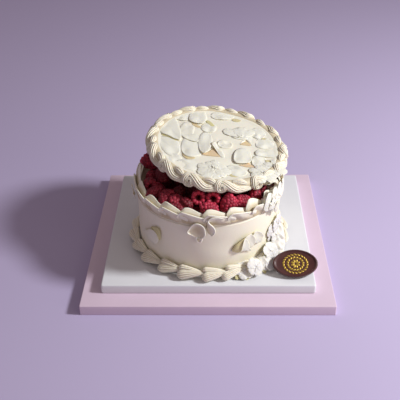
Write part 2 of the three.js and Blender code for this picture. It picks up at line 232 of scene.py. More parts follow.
def closedRing(points, crease):
    # A ring of sections, closed both ways, with one crease mark all over it: painted shade over the whole
    # ring.
    rows, columns, _ = points.shape
    return facingOut({"points": points.reshape(-1, 3), "quads": gridQuads(rows, columns, rows),
                      "tris": np.zeros((0, 3), int), "marks": {"crease": np.full(rows * columns, crease)}})


# What each finish is like: its colours, its roughness, how light spreads under its surface (weight, reach
# in red, green and blue, and depth) and its grain (scale, detail, depth and strength of a noise).
# The cream's crease colour, and the share of it mixed in, are painted shade for its grooves and hollows.
creamLook = {
    "colour": (0.90, 0.862, 0.725), "wallColour": (0.89, 0.845, 0.675), "lidColour": (0.848, 0.825, 0.70),
    "crease": (0.50, 0.39, 0.20), "creaseShadeShare": 0.8, "patches": 40.0, "roughness": 0.52,
    "soft": (0.12, (1.0, 0.7, 0.45), 1.6 * mm), "grain": (420.0, 4.0, 0.25 * mm, 0.5),
}
# The petals' under colour is painted warm shade and glow of light through them, laid on their under sides
# and, by the tint, on some upper faces.
petalLook = {
    "colour": (0.863, 0.848, 0.71), "footColour": (0.79, 0.765, 0.70), "under": (0.88, 0.83, 0.66),
    "roughness": 0.5, "soft": (0.2, (1.0, 0.8, 0.45), 2.5 * mm), "grain": (260.0, 3.0, 0.15 * mm, 0.5),
}
# The olive and gold are mostly painted shade, under lifted petal edges and between petals, and in part the
# petals' own olive bases.
baseAndShadeLook = {
    "olive": (0.64, 0.59, 0.31), "gold": (0.73, 0.55, 0.35),
    "roughness": 0.5, "soft": (0.2, (1.0, 0.9, 0.3), 1.0 * mm),
}
# The deep red is both the low end of the beads' random tone and painted shade; the hollow's dark red is
# painted shade in the recess.
fruitLook = {
    "deep": (0.105, 0.001, 0.005), "bright": (0.60, 0.04, 0.088), "hollow": (0.18, 0.004, 0.012),
    "bloom": (1.0, 0.55, 0.7), "bloomWeight": 0.15, "bloomRoughness": 0.4, "shine": 0.35,
    "roughness": 0.5, "soft": (0.3, (1.0, 0.12, 0.15), 1.6 * mm), "grain": (900.0, 3.0, 0.1 * mm, 0.4),
}
chocolateLook = {
    "colour": (0.062, 0.017, 0.015), "worn": (0.09, 0.031, 0.026), "patches": 90.0,
    "roughness": 0.36, "soft": (0.05, (1.0, 0.5, 0.3), 1.0 * mm), "grain": (600.0, 3.0, 0.08 * mm, 0.5),
}
goldLook = {"colour": (0.62, 0.42, 0.07), "shade": 0.6, "speckle": 700.0, "metal": 0.6, "roughness": 0.38}
cardLook = {
    "white": (0.78, 0.79, 0.82), "lilac": (0.73, 0.58, 0.70), "patches": 25.0, "whiteGrain": 500.0,
    "lilacGrain": 900.0, "grainDepth": 0.06 * mm, "roughness": 0.42,
}


def newMaterial(name):
    material = bpy.data.materials.new(name)
    material.use_nodes = True
    nodes, links = material.node_tree.nodes, material.node_tree.links
    return material, nodes, links, nodes["Principled BSDF"]


def rgba(colour):
    return (*colour, 1.0)


def noiseOn(nodes, links, scale, detail=3.0):
    place = nodes.new("ShaderNodeTexCoord")
    noise = nodes.new("ShaderNodeTexNoise")
    noise.inputs["Scale"].default_value = scale
    noise.inputs["Detail"].default_value = detail
    links.new(place.outputs["Object"], noise.inputs["Vector"])
    return noise.outputs["Fac"]


def ramp(nodes, links, value, stops):
    node = nodes.new("ShaderNodeValToRGB")
    spots = node.color_ramp.elements
    spots[0].position, spots[0].color = stops[0][0], rgba(stops[0][1])
    spots[1].position, spots[1].color = stops[-1][0], rgba(stops[-1][1])
    for position, colour in stops[1:-1]:
        spots.new(position).color = rgba(colour)
    links.new(value, node.inputs["Fac"])
    return node.outputs["Color"]


def mixColour(nodes, links, amount, first, second):
    node = nodes.new("ShaderNodeMix")
    node.data_type = "RGBA"
    for socket, value in ((node.inputs[0], amount), (node.inputs[6], first), (node.inputs[7], second)):
        if isinstance(value, bpy.types.NodeSocket):
            links.new(value, socket)
        else:
            socket.default_value = value if isinstance(value, float) else rgba(value)
    return node.outputs[2]


def timesOn(nodes, links, value, factor):
    node = nodes.new("ShaderNodeMath")
    node.operation = "MULTIPLY"
    node.inputs[1].default_value = factor
    links.new(value, node.inputs[0])
    return node.outputs[0]


def markOn(nodes, name):
    node = nodes.new("ShaderNodeAttribute")
    node.attribute_name = name
    return node.outputs["Fac"]


def addGrain(nodes, links, shader, scale, detail, depth, strength):
    bump = nodes.new("ShaderNodeBump")
    bump.inputs["Distance"].default_value = depth
    bump.inputs["Strength"].default_value = strength
    links.new(noiseOn(nodes, links, scale, detail), bump.inputs["Height"])
    links.new(bump.outputs["Normal"], shader.inputs["Normal"])


def finishFrom(nodes, links, shader, look):
    shader.inputs["Roughness"].default_value = look["roughness"]
    if "soft" in look:
        weight, reach, depth = look["soft"]
        shader.inputs["Subsurface Weight"].default_value = weight
        shader.inputs["Subsurface Radius"].default_value = reach
        shader.inputs["Subsurface Scale"].default_value = depth
    if "grain" in look:
        addGrain(nodes, links, shader, *look["grain"])


def creamMaterial(name, colour):
    # Cream with faint patches at random, and painted shade in its creases: the olive crease colour is mixed
    # in as far as the crease mark says.
    material, nodes, links, shader = newMaterial(name)
    tint = ramp(nodes, links, noiseOn(nodes, links, creamLook["patches"]), [
        (0.3, tuple(0.985 * c for c in colour)), (0.7, colour)])
    groove = timesOn(nodes, links, markOn(nodes, "crease"), creamLook["creaseShadeShare"])
    links.new(mixColour(nodes, links, groove, tint, creamLook["crease"]), shader.inputs["Base Color"])
    finishFrom(nodes, links, shader, creamLook)
    return material


def petalMaterial(name, colour):
    # White above, and warmer on the under side: a painted warm shade and glow of light through the petal.
    material, nodes, links, shader = newMaterial(name)
    links.new(mixColour(nodes, links, markOn(nodes, "under"), colour, petalLook["under"]),
              shader.inputs["Base Color"])
    finishFrom(nodes, links, shader, petalLook)
    return material


def baseAndShadeMaterial():
    # Between olive and gold, as the mark says: mostly painted shade, and in part the olive of petal bases.
    material, nodes, links, shader = newMaterial("petal base and painted shade")
    links.new(mixColour(nodes, links, markOn(nodes, "gold"), baseAndShadeLook["olive"], baseAndShadeLook["gold"]),
              shader.inputs["Base Color"])
    finishFrom(nodes, links, shader, baseAndShadeLook)
    return material


def fruitMaterial():
    # From deep to bright red as the mark of each bead says, with a faint bloom. The red differs at random
    # from
    # bead to bead, and is also painted shade: lower for the berries under the lid and in the core between the
    # beads. The hollow is painted dark as shade in the recess.
    material, nodes, links, shader = newMaterial("raspberry flesh")
    bead = ramp(nodes, links, markOn(nodes, "bead"), [(0.0, fruitLook["deep"]), (1.0, fruitLook["bright"])])
    inside = mixColour(nodes, links, markOn(nodes, "inside"), bead, fruitLook["hollow"])
    links.new(inside, shader.inputs["Base Color"])
    shader.inputs["Specular IOR Level"].default_value = fruitLook["shine"]
    shader.inputs["Sheen Weight"].default_value = fruitLook["bloomWeight"]
    shader.inputs["Sheen Roughness"].default_value = fruitLook["bloomRoughness"]
    shader.inputs["Sheen Tint"].default_value = rgba(fruitLook["bloom"])
    finishFrom(nodes, links, shader, fruitLook)
    return material


def chocolateMaterial():
    material, nodes, links, shader = newMaterial("dark chocolate")
    tint = ramp(nodes, links, noiseOn(nodes, links, chocolateLook["patches"]), [
        (0.35, chocolateLook["colour"]), (0.75, chocolateLook["worn"])])
    links.new(tint, shader.inputs["Base Color"])
    finishFrom(nodes, links, shader, chocolateLook)
    return material


def goldMaterial():
    material, nodes, links, shader = newMaterial("gold dust")
    tint = ramp(nodes, links, noiseOn(nodes, links, goldLook["speckle"]), [
        (0.3, tuple(goldLook["shade"] * c for c in goldLook["colour"])), (0.7, goldLook["colour"])])
    links.new(tint, shader.inputs["Base Color"])
    shader.inputs["Metallic"].default_value = goldLook["metal"]
    finishFrom(nodes, links, shader, goldLook)
    return material


def cardMaterial(name, colour, grain):
    material, nodes, links, shader = newMaterial(name)
    tint = ramp(nodes, links, noiseOn(nodes, links, cardLook["patches"], 6.0), [
        (0.3, tuple(0.97 * c for c in colour)), (0.7, colour)])
    links.new(tint, shader.inputs["Base Color"])
    finishFrom(nodes, links, shader, cardLook)
    addGrain(nodes, links, shader, grain, 2.0, cardLook["grainDepth"], 0.5)
    return material


cream = creamMaterial("buttercream", creamLook["colour"])
lidCream = creamMaterial("lid cream", creamLook["lidColour"])
wallCream = creamMaterial("wall cream", creamLook["wallColour"])
petalWhite = petalMaterial("white petal", petalLook["colour"])
footWhite = petalMaterial("foot petal", petalLook["footColour"])
baseAndShade = baseAndShadeMaterial()
fruit = fruitMaterial()
chocolate = chocolateMaterial()
gold = goldMaterial()
whiteCard = cardMaterial("white paper card", cardLook["white"], cardLook["whiteGrain"])
lilacCard = cardMaterial("lilac card", cardLook["lilac"], cardLook["lilacGrain"])
print("materials made")


def corners(node):
    # The low and the high corner of a node's box.
    return tuple(np.array(corner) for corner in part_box(node))


def middleOf(node):
    low, high = corners(node)
    return (low + high) / 2


bodyLow, bodyHigh = corners("cake_body")
cakeAxis = (bodyLow + bodyHigh)[:2] / 2
wallRadius = (bodyHigh[0] - bodyLow[0]) / 2
bodyBottom, bodyTop = bodyLow[2], bodyHigh[2]


def onCake(angle, radius, height):
    # A point at that angle and radius round the cake's axis.
    return xyz(cakeAxis[0] + radius * np.cos(angle), cakeAxis[1] + radius * np.sin(angle), height)


def lidPlane():
    # The lid's normal is the direction in which its points spread least; the first axis is the one
    # square to the normal that lies over X. Returns the axes, the middle and half the thickness.
    cloud = np.array([v.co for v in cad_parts["lid"].data.vertices])
    middle = middleOf("lid")
    _, _, directions = np.linalg.svd(np.unique(cloud.round(6), axis=0) - middle, full_matrices=False)
    normal = directions[2] * np.sign(directions[2][2])
    first = unit(np.cross((0.0, 1.0, 0.0), normal))
    axes = np.array([first, np.cross(normal, first), normal])
    return axes, middle, ((cloud - middle) @ normal).max()


lidAxes, lidMiddle, lidHalf = lidPlane()


def onLid(x, y, height):
    # A point in the lid's own plane, height counted from its cream.
    return lidMiddle + xyz(x, y, height + lidHalf) @ lidAxes


# The boards: each one's name, slot, and the radii of its corners and of its edges.
boardsMade = {
    "base_board": ("lilac_board", lilacCard, "lilac_card", 1.5 * mm, 0.8 * mm),
    "drum_board": ("white_board", whiteCard, "white_card", 2.5 * mm, 1.6 * mm),
}


def board(node, corner, edge):
    # A square with rounded corners, carried up a profile whose bottom and top edges are quarter rounds. Just
    # inside each edge one more ring keeps the flat faces shaded flat.
    low, high = corners(node)
    half, middle = (high - low)[0] / 2, (low + high) / 2
    quarter = np.linspace(0, turn / 4, 7)
    arc = np.stack([np.cos(quarter), np.sin(quarter)], -1)
    outline, facing = [], []
    for k, ends in enumerate(np.array([(1, 1), (-1, 1), (-1, -1), (1, -1)])):
        c, s = math.cos(k * turn / 4), math.sin(k * turn / 4)
        facing.append(arc @ np.array([[c, s], [-s, c]]))
        outline.append((half - corner) * ends + corner * facing[-1])
    outline, facing = np.vstack(outline), np.vstack(facing)
    bend = np.linspace(0, turn / 4, 5)
    inside = edge + 0.6 * mm
    inset = np.concatenate([[edge, inside], edge * (1 - np.sin(bend)),
                            edge * (1 - np.cos(bend)), [inside, edge]])
    level = np.concatenate([[low[2]] * 2, low[2] + edge * (1 - np.cos(bend)),
                            high[2] - edge * (1 - np.sin(bend)), [high[2]] * 2])
    scale = np.ones(len(level))
    scale[[0, -1]] = 0.5
    flat = (outline[None] - inset[:, None, None] * facing[None]) * scale[:, None, None]
    flat = flat + middle[:2]
    return tube(xyz(flat[..., 0], flat[..., 1], level[:, None]))


for node, (name, material, slot, corner, edge) in boardsMade.items():
    addPiece(name, board(node, corner, edge), material, [node])
print("boards made")

# The cake's body: the radius of its top edge, the depth and height of the waves in its wall, and its mesh.
bodyMade = {"edge": 4 * mm, "wobble": 0.35 * mm, "wave": 18 * mm, "around": 240, "up": 60}


def cakeBody():
    # A lathe profile: across the bottom, up the wall, round the edge and in to the middle. The wall moves
    # in and out by a gentle ripple, as a spatula leaves it.
    edge = bodyMade["edge"]
    bend = np.linspace(0, turn / 4, 8)
    wall = np.linspace(bodyBottom, bodyTop - edge, bodyMade["up"])
    radius = np.concatenate([[40 * mm], np.full(len(wall), wallRadius),
                             wallRadius - edge * (1 - np.cos(bend)), [60 * mm, 20 * mm]])
    level = np.concatenate([[bodyBottom], wall, bodyTop - edge * (1 - np.sin(bend)), [bodyTop, bodyTop]])
    angle = roundTurn(bodyMade["around"])[None, :]
    onWall = smooth(radius, 70 * mm, 88 * mm)[:, None]
    shift = bodyMade["wobble"] * (ripple(angle, level[:, None] / bodyMade["wave"], 3) - 1)
    return tube(onCake(angle, radius[:, None] + onWall * shift, level[:, None]))


addPiece("cream_wall", cakeBody(), wallCream, ["cake_body"])
print("body made")

# The ruffle round the rim, two tiers of leaves on a ring of cream. Tall says where leaves of the upper tier
# stand taller, in degrees, and by how much.
ruffleMade = {
    "folds": 20, "firstValley": 267, "rows": 56, "columns": 17,
    "upperRadius": 88.3 * mm, "upperEdge": 8.0 * mm, "upperRise": 9.0 * mm, "lean": 6.6 * mm,
    "tall": ((311, 8.0 * mm), (175, 13.0 * mm)), "tallWidth": 13,
    "lowerRadius": 88.5 * mm, "lowerEdge": 7.2 * mm, "noseRise": 7.8 * mm, "lip": 1.0 * mm,
    "flare": 3.8 * mm, "flareAt": 290,
    "bedRadius": 84.2 * mm, "bedReach": 4.6 * mm, "bedRise": 3.4 * mm, "bedUp": 3.0 * mm,
}


def foldGrid(seed, shift):
    # The two parameters of one leaf, its start angle and a size, both a little uneven.
    random = np.random.default_rng(seed)
    pitch = turn / ruffleMade["folds"]
    start = math.radians(ruffleMade["firstValley"] + shift) + (seed % 100) * pitch
    start = start + random.uniform(-0.08, 0.08) * pitch
    w = np.linspace(0, 1, ruffleMade["rows"])[:, None]
    s = np.linspace(0, 1, ruffleMade["columns"])[None, :]
    return w, s, start, pitch, random.uniform(0.8, 1.12)


def upperLeaf(k):
    # One scallop: its free edge rises as a square root at the left, rounds over and falls away to the
    # right. It leans in towards the fruit as the 1.6th power of the way up, and its right end tucks behind.
    # The ones at the front right and at the left stand taller, up to the lid.
    w, s, start, pitch, size = foldGrid(100 + k, 0.0)
    rise = np.sqrt(np.clip(w / 0.16, 0, 1)) * (0.9 + 0.1 * smooth(w, 0, 0.3))
    rise = rise * (1 - smooth(w, 0.22, 1.12) ** 0.9)
    degrees = math.degrees(start) % 360
    tall = sum(more * math.exp(-((degrees - at) / ruffleMade["tallWidth"]) ** 2)
               for at, more in ruffleMade["tall"])
    edge = ruffleMade["upperEdge"] + (ruffleMade["upperRise"] * size + tall) * rise
    root = ruffleMade["bedUp"]
    height = bodyTop + root + (edge - root) * s
    lean = ruffleMade["lean"] * (0.45 + 0.55 * rise) * s ** 1.6
    radius = (ruffleMade["upperRadius"] + 1.8 * mm * (1 - w) ** 2 - 2.4 * mm * w ** 2 - lean
              + 0.5 * mm * np.sin(math.pi * s) + 0.8 * mm * smooth(s, 0.8, 1.0))
    radius = radius + 0.35 * mm * np.sin(11 * w + 3 * k) * s
    angle = start + pitch * (1.2 * w - 0.04) - 0.10 * pitch * s * (1 - w)
    # Painted shade: the leaf is darkened olive low down, behind the lower tier, fading to plain cream towards
    # its free edge.
    shade = {"crease": 0.95 * (1.0 - smooth(s, 0.42, 0.84))}
    return sheet(onCake(angle, radius, height), (1.9 - 0.6 * s) * mm, shade)


def lowerLeaf(k):
    # One leaf of the lower tier: its free edge leaps up to a nose at the left and falls to the right. It
    # flares out towards the edge, late at the nose, where it is hollow below, and early elsewhere. A round
    # bead runs along the edge.
    w, s, start, pitch, size = foldGrid(300 + k, 2.8)
    nose = np.sqrt(np.clip(w / 0.14, 0, 1)) * (1 - smooth(w, 0.08, 1.15) ** 0.8)
    edge = ruffleMade["lowerEdge"] + ruffleMade["noseRise"] * size * nose
    height = bodyTop - 1.0 * mm + (edge + 1.0 * mm) * s ** 1.15
    hollow = 1 - smooth(w, 0.12, 0.42)
    flare = ruffleMade["flare"] * (0.72 + 0.28 * math.cos(start - math.radians(ruffleMade["flareAt"])))
    reach = flare * s ** (0.8 + 1.8 * hollow)
    radius = ruffleMade["lowerRadius"] + reach + 1.0 * mm * (1 - w) - 1.6 * mm * w ** 2 * s
    radius = radius + 0.5 * mm * np.sin(10 * w + 5 * s) * (1 - s) * s * 4
    angle = start + pitch * (1.18 * w - 0.03) - 0.16 * pitch * s * (1 - w) ** 2
    # Painted shade: the leaf is darker towards the wall, and more so in the hollow under its nose.
    shade = {"crease": np.clip(1.2 * (1 - s) ** 1.1 + 0.6 * hollow * (1 - s), 0, 1)}
    middle = onCake(angle, radius, height)
    taper = np.sin(math.pi * (0.03 + 0.94 * w[:, 0])) ** 0.3
    lip = sweep(middle[:, -1], upwards(len(w)), ruffleMade["lip"] * taper, columns=8)
    return joined([sheet(middle, (2.0 - 0.5 * s) * mm, shade), lip])


def rimBed():
    # The ring of cream that the leaves grow from: a flat oval section carried round the rim.
    angle = roundTurn(160)[None, :]
    section = roundTurn(16)[:, None]
    return onCake(angle, ruffleMade["bedRadius"] + ruffleMade["bedReach"] * np.cos(section),
                  bodyTop + ruffleMade["bedUp"] + ruffleMade["bedRise"] * np.sin(section))


# The ring of cream under the leaves is painted in shade all over by its crease mark.
ruffleShapes = [closedRing(rimBed(), 0.9)]
ruffleShapes += [upperLeaf(k) for k in range(ruffleMade["folds"])]
ruffleShapes += [lowerLeaf(k) for k in range(ruffleMade["folds"])]
addPiece("rim_leaves", joined(ruffleShapes), cream, ["rim_ruffle"])
print("ruffle made")

# The shells round the foot, each with a strip folded over it.
shellMade = {
    "count": 22, "first": 247.4, "length": 37 * mm, "head": 6.6 * mm, "ridges": 13, "depth": 0.31,
    "out": 98.6 * mm, "drawnIn": 5.4 * mm, "up": 5.2 * mm,
    "stripLength": 30 * mm, "strip": 4.0 * mm, "stripRidges": 8, "stripDepth": 0.34,
    "stripOut": 93.6 * mm, "stripUp": 13.4 * mm,
}


def onBoard(shape):
    # No point of the shape goes below the white board's top.
    shape["points"][:, 2] = np.maximum(shape["points"][:, 2], bodyBottom + 0.1 * mm)
    return shape


def footShell(k):
    # One piped shell: a round fan at the left, low and outside, and a tail drawn up against the wall. Its
    # radius rises as a quarter circle over the first fifth, then falls slowly and faster to the end.
    random = np.random.default_rng(500 + k)
    start = math.radians(shellMade["first"]) + turn * (k + random.uniform(-0.1, 0.1)) / shellMade["count"]
    size = random.uniform(0.92, 1.08)
    t = np.linspace(0, 1, 40) ** 1.3
    angle = start + shellMade["length"] * size * t / (97 * mm)
    radius = shellMade["out"] - shellMade["drawnIn"] * t
    height = bodyBottom + shellMade["up"] + (0.8 * np.sin(math.pi * t) + random.uniform(4.5, 6) * t) * mm
    swell = np.where(t < 0.2, np.sqrt(np.clip(t * (0.4 - t) / 0.04, 0.0, 1)), 1.0)
    swell = swell * (1 - 0.85 * t ** 1.3)
    radii = np.maximum(shellMade["head"] * size * swell, 0.4 * mm)
    return onBoard(sweep(onCake(angle, radius, height), upwards(len(t)), radii, shellMade["ridges"],
                         shellMade["depth"] * (1.1 - 0.3 * t), twist=random.uniform(0.2, 0.9), columns=66))


def shellStrip(k):
    # The strip that folds over a shell's top and runs down to its tail: narrower, ridged, close to the wall.
    random = np.random.default_rng(540 + k)
    start = math.radians(shellMade["first"] + 1.0)
    start = start + turn * (k + random.uniform(-0.08, 0.08)) / shellMade["count"]
    t = np.linspace(0, 1, 30)
    angle = start + shellMade["stripLength"] * t / (94 * mm)
    height = bodyBottom + shellMade["stripUp"] + (1.6 * np.sin(math.pi * t) - 5.0 * t) * mm
    radii = shellMade["strip"] * random.uniform(0.85, 1.1) * np.sqrt(np.clip(t / 0.14, 0.02, 1))
    return sweep(onCake(angle, shellMade["stripOut"] - 0.6 * mm * t, height), upwards(len(t)),
                 radii * (1 - 0.6 * t ** 1.4), shellMade["stripRidges"], shellMade["stripDepth"],
                 twist=0.5, columns=48)


shellShapes = [footShell(k) for k in range(shellMade["count"])]
shellShapes += [shellStrip(k) for k in range(shellMade["count"])]
addPiece("foot_shells", joined(shellShapes), cream, ["bottom_border"])
print("shells made")

# The lid: its flat part's radius, the radii and levels round its edge, its underside and its waves.
lidMade = {"flat": 68, "edge": ((72, 0.5), (75, 1.5), (77, 1.0), (77.5, -6), (77, -12.5)), "under": -13.5,
           "wobble": 0.3 * mm, "wave": 14 * mm}


def lidDisc():
    # A disc whose top moves up and down by a gentle ripple and rises a little where the border covers it.
    edgeRadius, edgeLevel = zip(*lidMade["edge"])
    radius = np.concatenate([np.linspace(10, lidMade["flat"], 14), edgeRadius,
                             np.linspace(lidMade["flat"], 10, 6)]) * mm
    level = np.concatenate([np.full(14, 0.0), edgeLevel, np.full(6, lidMade["under"])]) * mm
    angle = roundTurn(120)[None, :]
    top = (level > -0.4 * mm)[:, None]
    wave = ripple(angle, radius[:, None] / lidMade["wave"], 8) - 0.6
    return tube(onLid(radius[:, None] * np.cos(angle), radius[:, None] * np.sin(angle),
                      level[:, None] + top * lidMade["wobble"] * wave))


addPiece("lid_cream", lidDisc(), lidCream, ["lid"])

# The lid's border: the turns of the scrolls' middles round the lid, in degrees, its round section, the
# shape of one scroll, the comma beside it and the ring of cream under both.
scrollMade = {
    "turns": (221.5, 247.9, 273.8, 304.5, 333, 0, 30, 61.8, 90, 117, 144, 170, 196),
    "ring": 78.5 * mm, "section": 7.6 * mm, "centre": -4.8 * mm, "lean": 30, "low": 1.2 * mm,
    "spiral": 6.3 * mm, "winds": 1.3, "rope": 5.0 * mm, "ridges": 12, "depth": 0.3, "tail": 37 * mm,
    "tailDrop": 4.0 * mm, "eyeRise": 2.4 * mm, "sunk": 1.4 * mm,
    "comma": 4.0 * mm, "commaRidges": 9, "bed": 7.0 * mm,
}


def onBorder(along, across):
    # A point of the border's round section: across is the way up it from the middle of its outer face, and
    # along the way round the lid. Returns the point and the way out of the surface.
    ring, section = scrollMade["ring"], scrollMade["section"]
    lean = math.radians(scrollMade["lean"]) + across / section
    angle = along / (ring + section)
    outX, outZ = np.cos(lean), np.sin(lean)
    radius = ring + section * outX
    point = onLid(radius * np.cos(angle), radius * np.sin(angle), scrollMade["centre"] + section * outZ)
    out = xyz(outX * np.cos(angle), outX * np.sin(angle), outZ) @ lidAxes
    return point, out


def roundLid(degrees):
    # The way round the border to that turn.
    return math.radians(degrees) * (scrollMade["ring"] + scrollMade["section"])


def scroll(k):
    # One scroll: a ridged rope that winds out clockwise in a flat spiral to its top, then a tail that falls
    # to the border's lower edge and runs on under the next spiral.
    random = np.random.default_rng(700 + k)
    size = random.uniform(0.94, 1.06)
    wind = np.linspace(0, 1, 54)
    spin = turn / 4 + turn * scrollMade["winds"] * (1 - wind)
    away = scrollMade["spiral"] * size * (0.05 + 0.95 * wind ** 0.9)
    tail = np.linspace(0, 1, 44)[1:]
    along = np.concatenate([away * np.cos(spin), scrollMade["tail"] * tail])
    fall = away[-1] - (away[-1] + scrollMade["tailDrop"]) * smooth(tail, -0.1, 0.6)
    across = np.concatenate([away * np.sin(spin), fall]) - scrollMade["low"]
    path, out = onBorder(roundLid(scrollMade["turns"][k]) + along, across)
    rope = scrollMade["rope"] * size
    radii = np.concatenate([rope * (0.55 + 0.45 * wind),
                            rope * (1 + 0.2 * np.sin(math.pi * tail)) * (1 - 0.45 * tail ** 2)])
    radii[0] = 0.5 * mm
    rise = np.concatenate([scrollMade["eyeRise"] * (1 - wind), 0 * tail]) - scrollMade["sunk"]
    return sweep(path + rise[:, None] * out, out, radii, scrollMade["ridges"], scrollMade["depth"],
                 twist=0.9, columns=60)


def comma(k):
    # A small ridged leaf that fills the angle between one scroll's tail and the next spiral.
    random = np.random.default_rng(900 + k)
    start = roundLid(scrollMade["turns"][k] + random.uniform(-1, 1))
    t = np.linspace(0, 1, 26)
    path, out = onBorder(start + (14 + 19 * t) * mm,
                         (5.2 + 2.6 * np.sin(math.pi * t ** 0.8) - 3.6 * t) * mm)
    radii = scrollMade["comma"] * np.sin(math.pi * np.clip(0.05 + 0.9 * t, 0, 1)) ** 0.7
    return sweep(path - 1.0 * mm * out, out, radii, scrollMade["commaRidges"], scrollMade["depth"],
                 twist=0.8, columns=45)


def borderBed():
    # The ring of cream under the scrolls.
    angle = roundTurn(144)[None, :]
    section = roundTurn(20)[:, None]
    radius = scrollMade["ring"] + scrollMade["bed"] * np.cos(section)
    return onLid(radius * np.cos(angle), radius * np.sin(angle),
                 scrollMade["centre"] + scrollMade["bed"] * np.sin(section))


# The ring of cream under the scrolls is painted in shade all over by its crease mark.
borderShapes = [closedRing(borderBed(), 0.8)]
borderShapes += [scroll(k) for k in range(len(scrollMade["turns"]))]
borderShapes += [comma(k) for k in range(len(scrollMade["turns"]))]
addPiece("lid_scrolls", joined(borderShapes), cream, ["lid_border"])
print("lid made")

# Raspberries: the whole one, its hollow's mouth, its beads and how they are spaced.
berryMade = {"radius": 8.8 * mm, "length": 18.5 * mm, "mouth": 3.2 * mm, "bead": 2.7 * mm, "rows": 7,
             "spacing": 1.5}


def berryOutline(t):
    # The radius at a share t of the way from the open end to the tip: a cosine to the power 0.6.
    return berryMade["radius"] * np.cos((t - 0.28) * 1.95) ** 0.6


def beadTemplate(rings, columns):
    # A unit ball as rings of a half turn.
    polar = np.linspace(0, math.pi, rings + 2)[1:-1][:, None]
    angle = roundTurn(columns)[None, :]
    return tube(xyz(np.sin(polar) * np.cos(angle), np.sin(polar) * np.sin(angle), np.cos(polar)))


def raspberry(seed, light, rings=5, columns=9):
    # A berry with its open end down: rows of beads on its outline, each row half a bead out of step with
    # the last, round a core whose middle is hollow. Light is how bright its red is, kept low as painted shade
    # for the berries in the shade under the lid.
    random = np.random.default_rng(seed)
    length, bead, mouth = berryMade["length"], berryMade["bead"], berryMade["mouth"]
    centres, ways, sizes, tones = [], [], [], []
    squash = random.uniform(0.93, 1.05)
    for row in range(berryMade["rows"]):
        t = 0.04 + 0.92 * row / (berryMade["rows"] - 1)
        radius = berryOutline(t) - 0.8 * bead
        count = max(int(round(turn * radius / (berryMade["spacing"] * bead))), 1)
        angle = turn * (np.arange(count) + 0.5 * (row % 2)) / count + random.uniform(-0.08, 0.08, count)
        level = length * (t - 0.5) + random.uniform(-0.35, 0.35, count) * mm
        centres.append(xyz(radius * np.cos(angle) * squash, radius * np.sin(angle), level))
        ways.append(unit(xyz(np.cos(angle), np.sin(angle), 1.5 * (t - 0.35))))
        sizes.append(bead * random.uniform(0.9, 1.1, count))
        # Each bead's red differs at random below the berry's light; the ring round the open end is at the
        # full light, a painted highlight.
        tones.append(light * (random.uniform(0.45, 1, count) if row else np.ones(count)))
    centres, ways = np.vstack(centres), np.vstack(ways)
    sizes, tones = np.concatenate(sizes), np.concatenate(tones)
    side = unit(np.cross(upwards(len(ways)) + 1e-6, ways))
    axes = np.stack([side, np.cross(ways, side), ways], 1)
    beads = copies(beadTemplate(rings, columns), centres, axes, sizes, {"bead": tones})
    # The core shows between the beads at 0.4 of the light, painted shade between them, and its first six
    # rings, the hollow and its mouth, are painted dark as shade in the recess.
    t = np.linspace(0.0, 0.97, 9)
    radius = np.concatenate([[0.6 * mm], np.linspace(0.4, 1, 4) * mouth, [1.5 * mouth],
                             berryOutline(t) - 0.12 * bead])
    level = np.concatenate([length * np.array([0.1, 0.05, -0.2, -0.35, -0.5, -0.53]), length * (t - 0.5)])
    angle = roundTurn(22)[None, :]
    inside = (np.arange(len(radius)) < 6)[:, None].astype(float)
    radius, level = radius[:, None], level[:, None]
    core = tube(xyz(radius * np.cos(angle) * squash, radius * np.sin(angle), level),
                {"inside": inside, "bead": 0.4 * light})
    return joined([beads, core])


def berryAxes(look, rise):
    # Axes whose third is the tip's way, opposite to where the open end looks.
    way = -np.array([math.cos(rise) * math.cos(look), math.cos(rise) * math.sin(look), math.sin(rise)])
    side = unit(np.cross((0.13, 0.07, 1.0), way))
    return np.array([side, np.cross(way, side), way])


# Where each berry's open end looks, a turn and a rise in degrees, and how bright its red is: painted
# shade, low for the berries in the shade under the lid.
berryLooks = {
    "berry_01": (150, 30, 0.7), "berry_02": (300, -40, 0.55), "berry_03": (60, -50, 0.5),
    "berry_04": (40, -60, 0.45), "berry_05": (100, -60, 0.15), "berry_06": (330, 10, 0.4),
    "berry_07": (80, -30, 0.6), "berry_08": (200, -70, 0.0), "berry_09": (130, -20, 0.2),
    "berry_10": (268, 25, 1.0), "berry_11": (262, 22, 1.0), "berry_12": (20, -30, 0.8),
    "berry_13": (40, 35, 1.0), "berry_14": (200, -15, 0.9), "berry_15": (250, -60, 0.7),
}
for k in range(9):
    berryLooks["berry_back_" + str(k + 1)] = (97 * k, -55 + 35 * (k % 4), 0.6)

for k, (node, (look, rise, light)) in enumerate(berryLooks.items()):
    axes = berryAxes(math.radians(look), math.radians(rise))
    addPiece(node.replace("berry_", "raspberry_"), moved(raspberry(40 + k, light), axes, middleOf(node)),
             fruit, [node])

# Each ring of heap berries: radius and height above the cake in millimetres, and how many. The filling is
# single ones: turn in degrees, radius and height. The bed is radii and heights. Ring berries stay clear of
# the front, so many degrees each way, where they are farther out than clearRadius, and of the lid.
heapMade = {
    "rings": ((50, 9.0, 12), (33, 9.5, 8), (56, 24.0, 11), (38, 25.0, 8)), "seed": 77,
    # The heap's light and its filling's light are low: painted shade for berries in the shade under the lid.
    "front": 262, "clear": 62, "clearRadius": 40, "underLid": 15 * mm, "light": 0.15,
    "filling": ((338, 66, 9), (354, 67, 9), (9, 68, 9), (346, 58, 23), (163, 58, 23), (196, 74, 13),
                (211, 74, 11), (226, 74, 8), (241, 73, 5)), "fillingLight": 0.3,
    "bed": ((20, 0.2), (71, 0.2), (71, 2.5), (69, 4.6), (64, 5.2), (56, 5.4), (46, 5.6), (38, 7),
            (32, 11), (30, 17), (30, 22), (28, 24)), "lumps": 0.11 / mm,
}


def heapBerry(random, number, light, spot):
    # A berry of fewer faces, turned at random.
    axes = berryAxes(random.uniform(0, turn), random.uniform(-1.2, 0.4))
    return moved(raspberry(1000 + number, light, 4, 7), axes, spot)


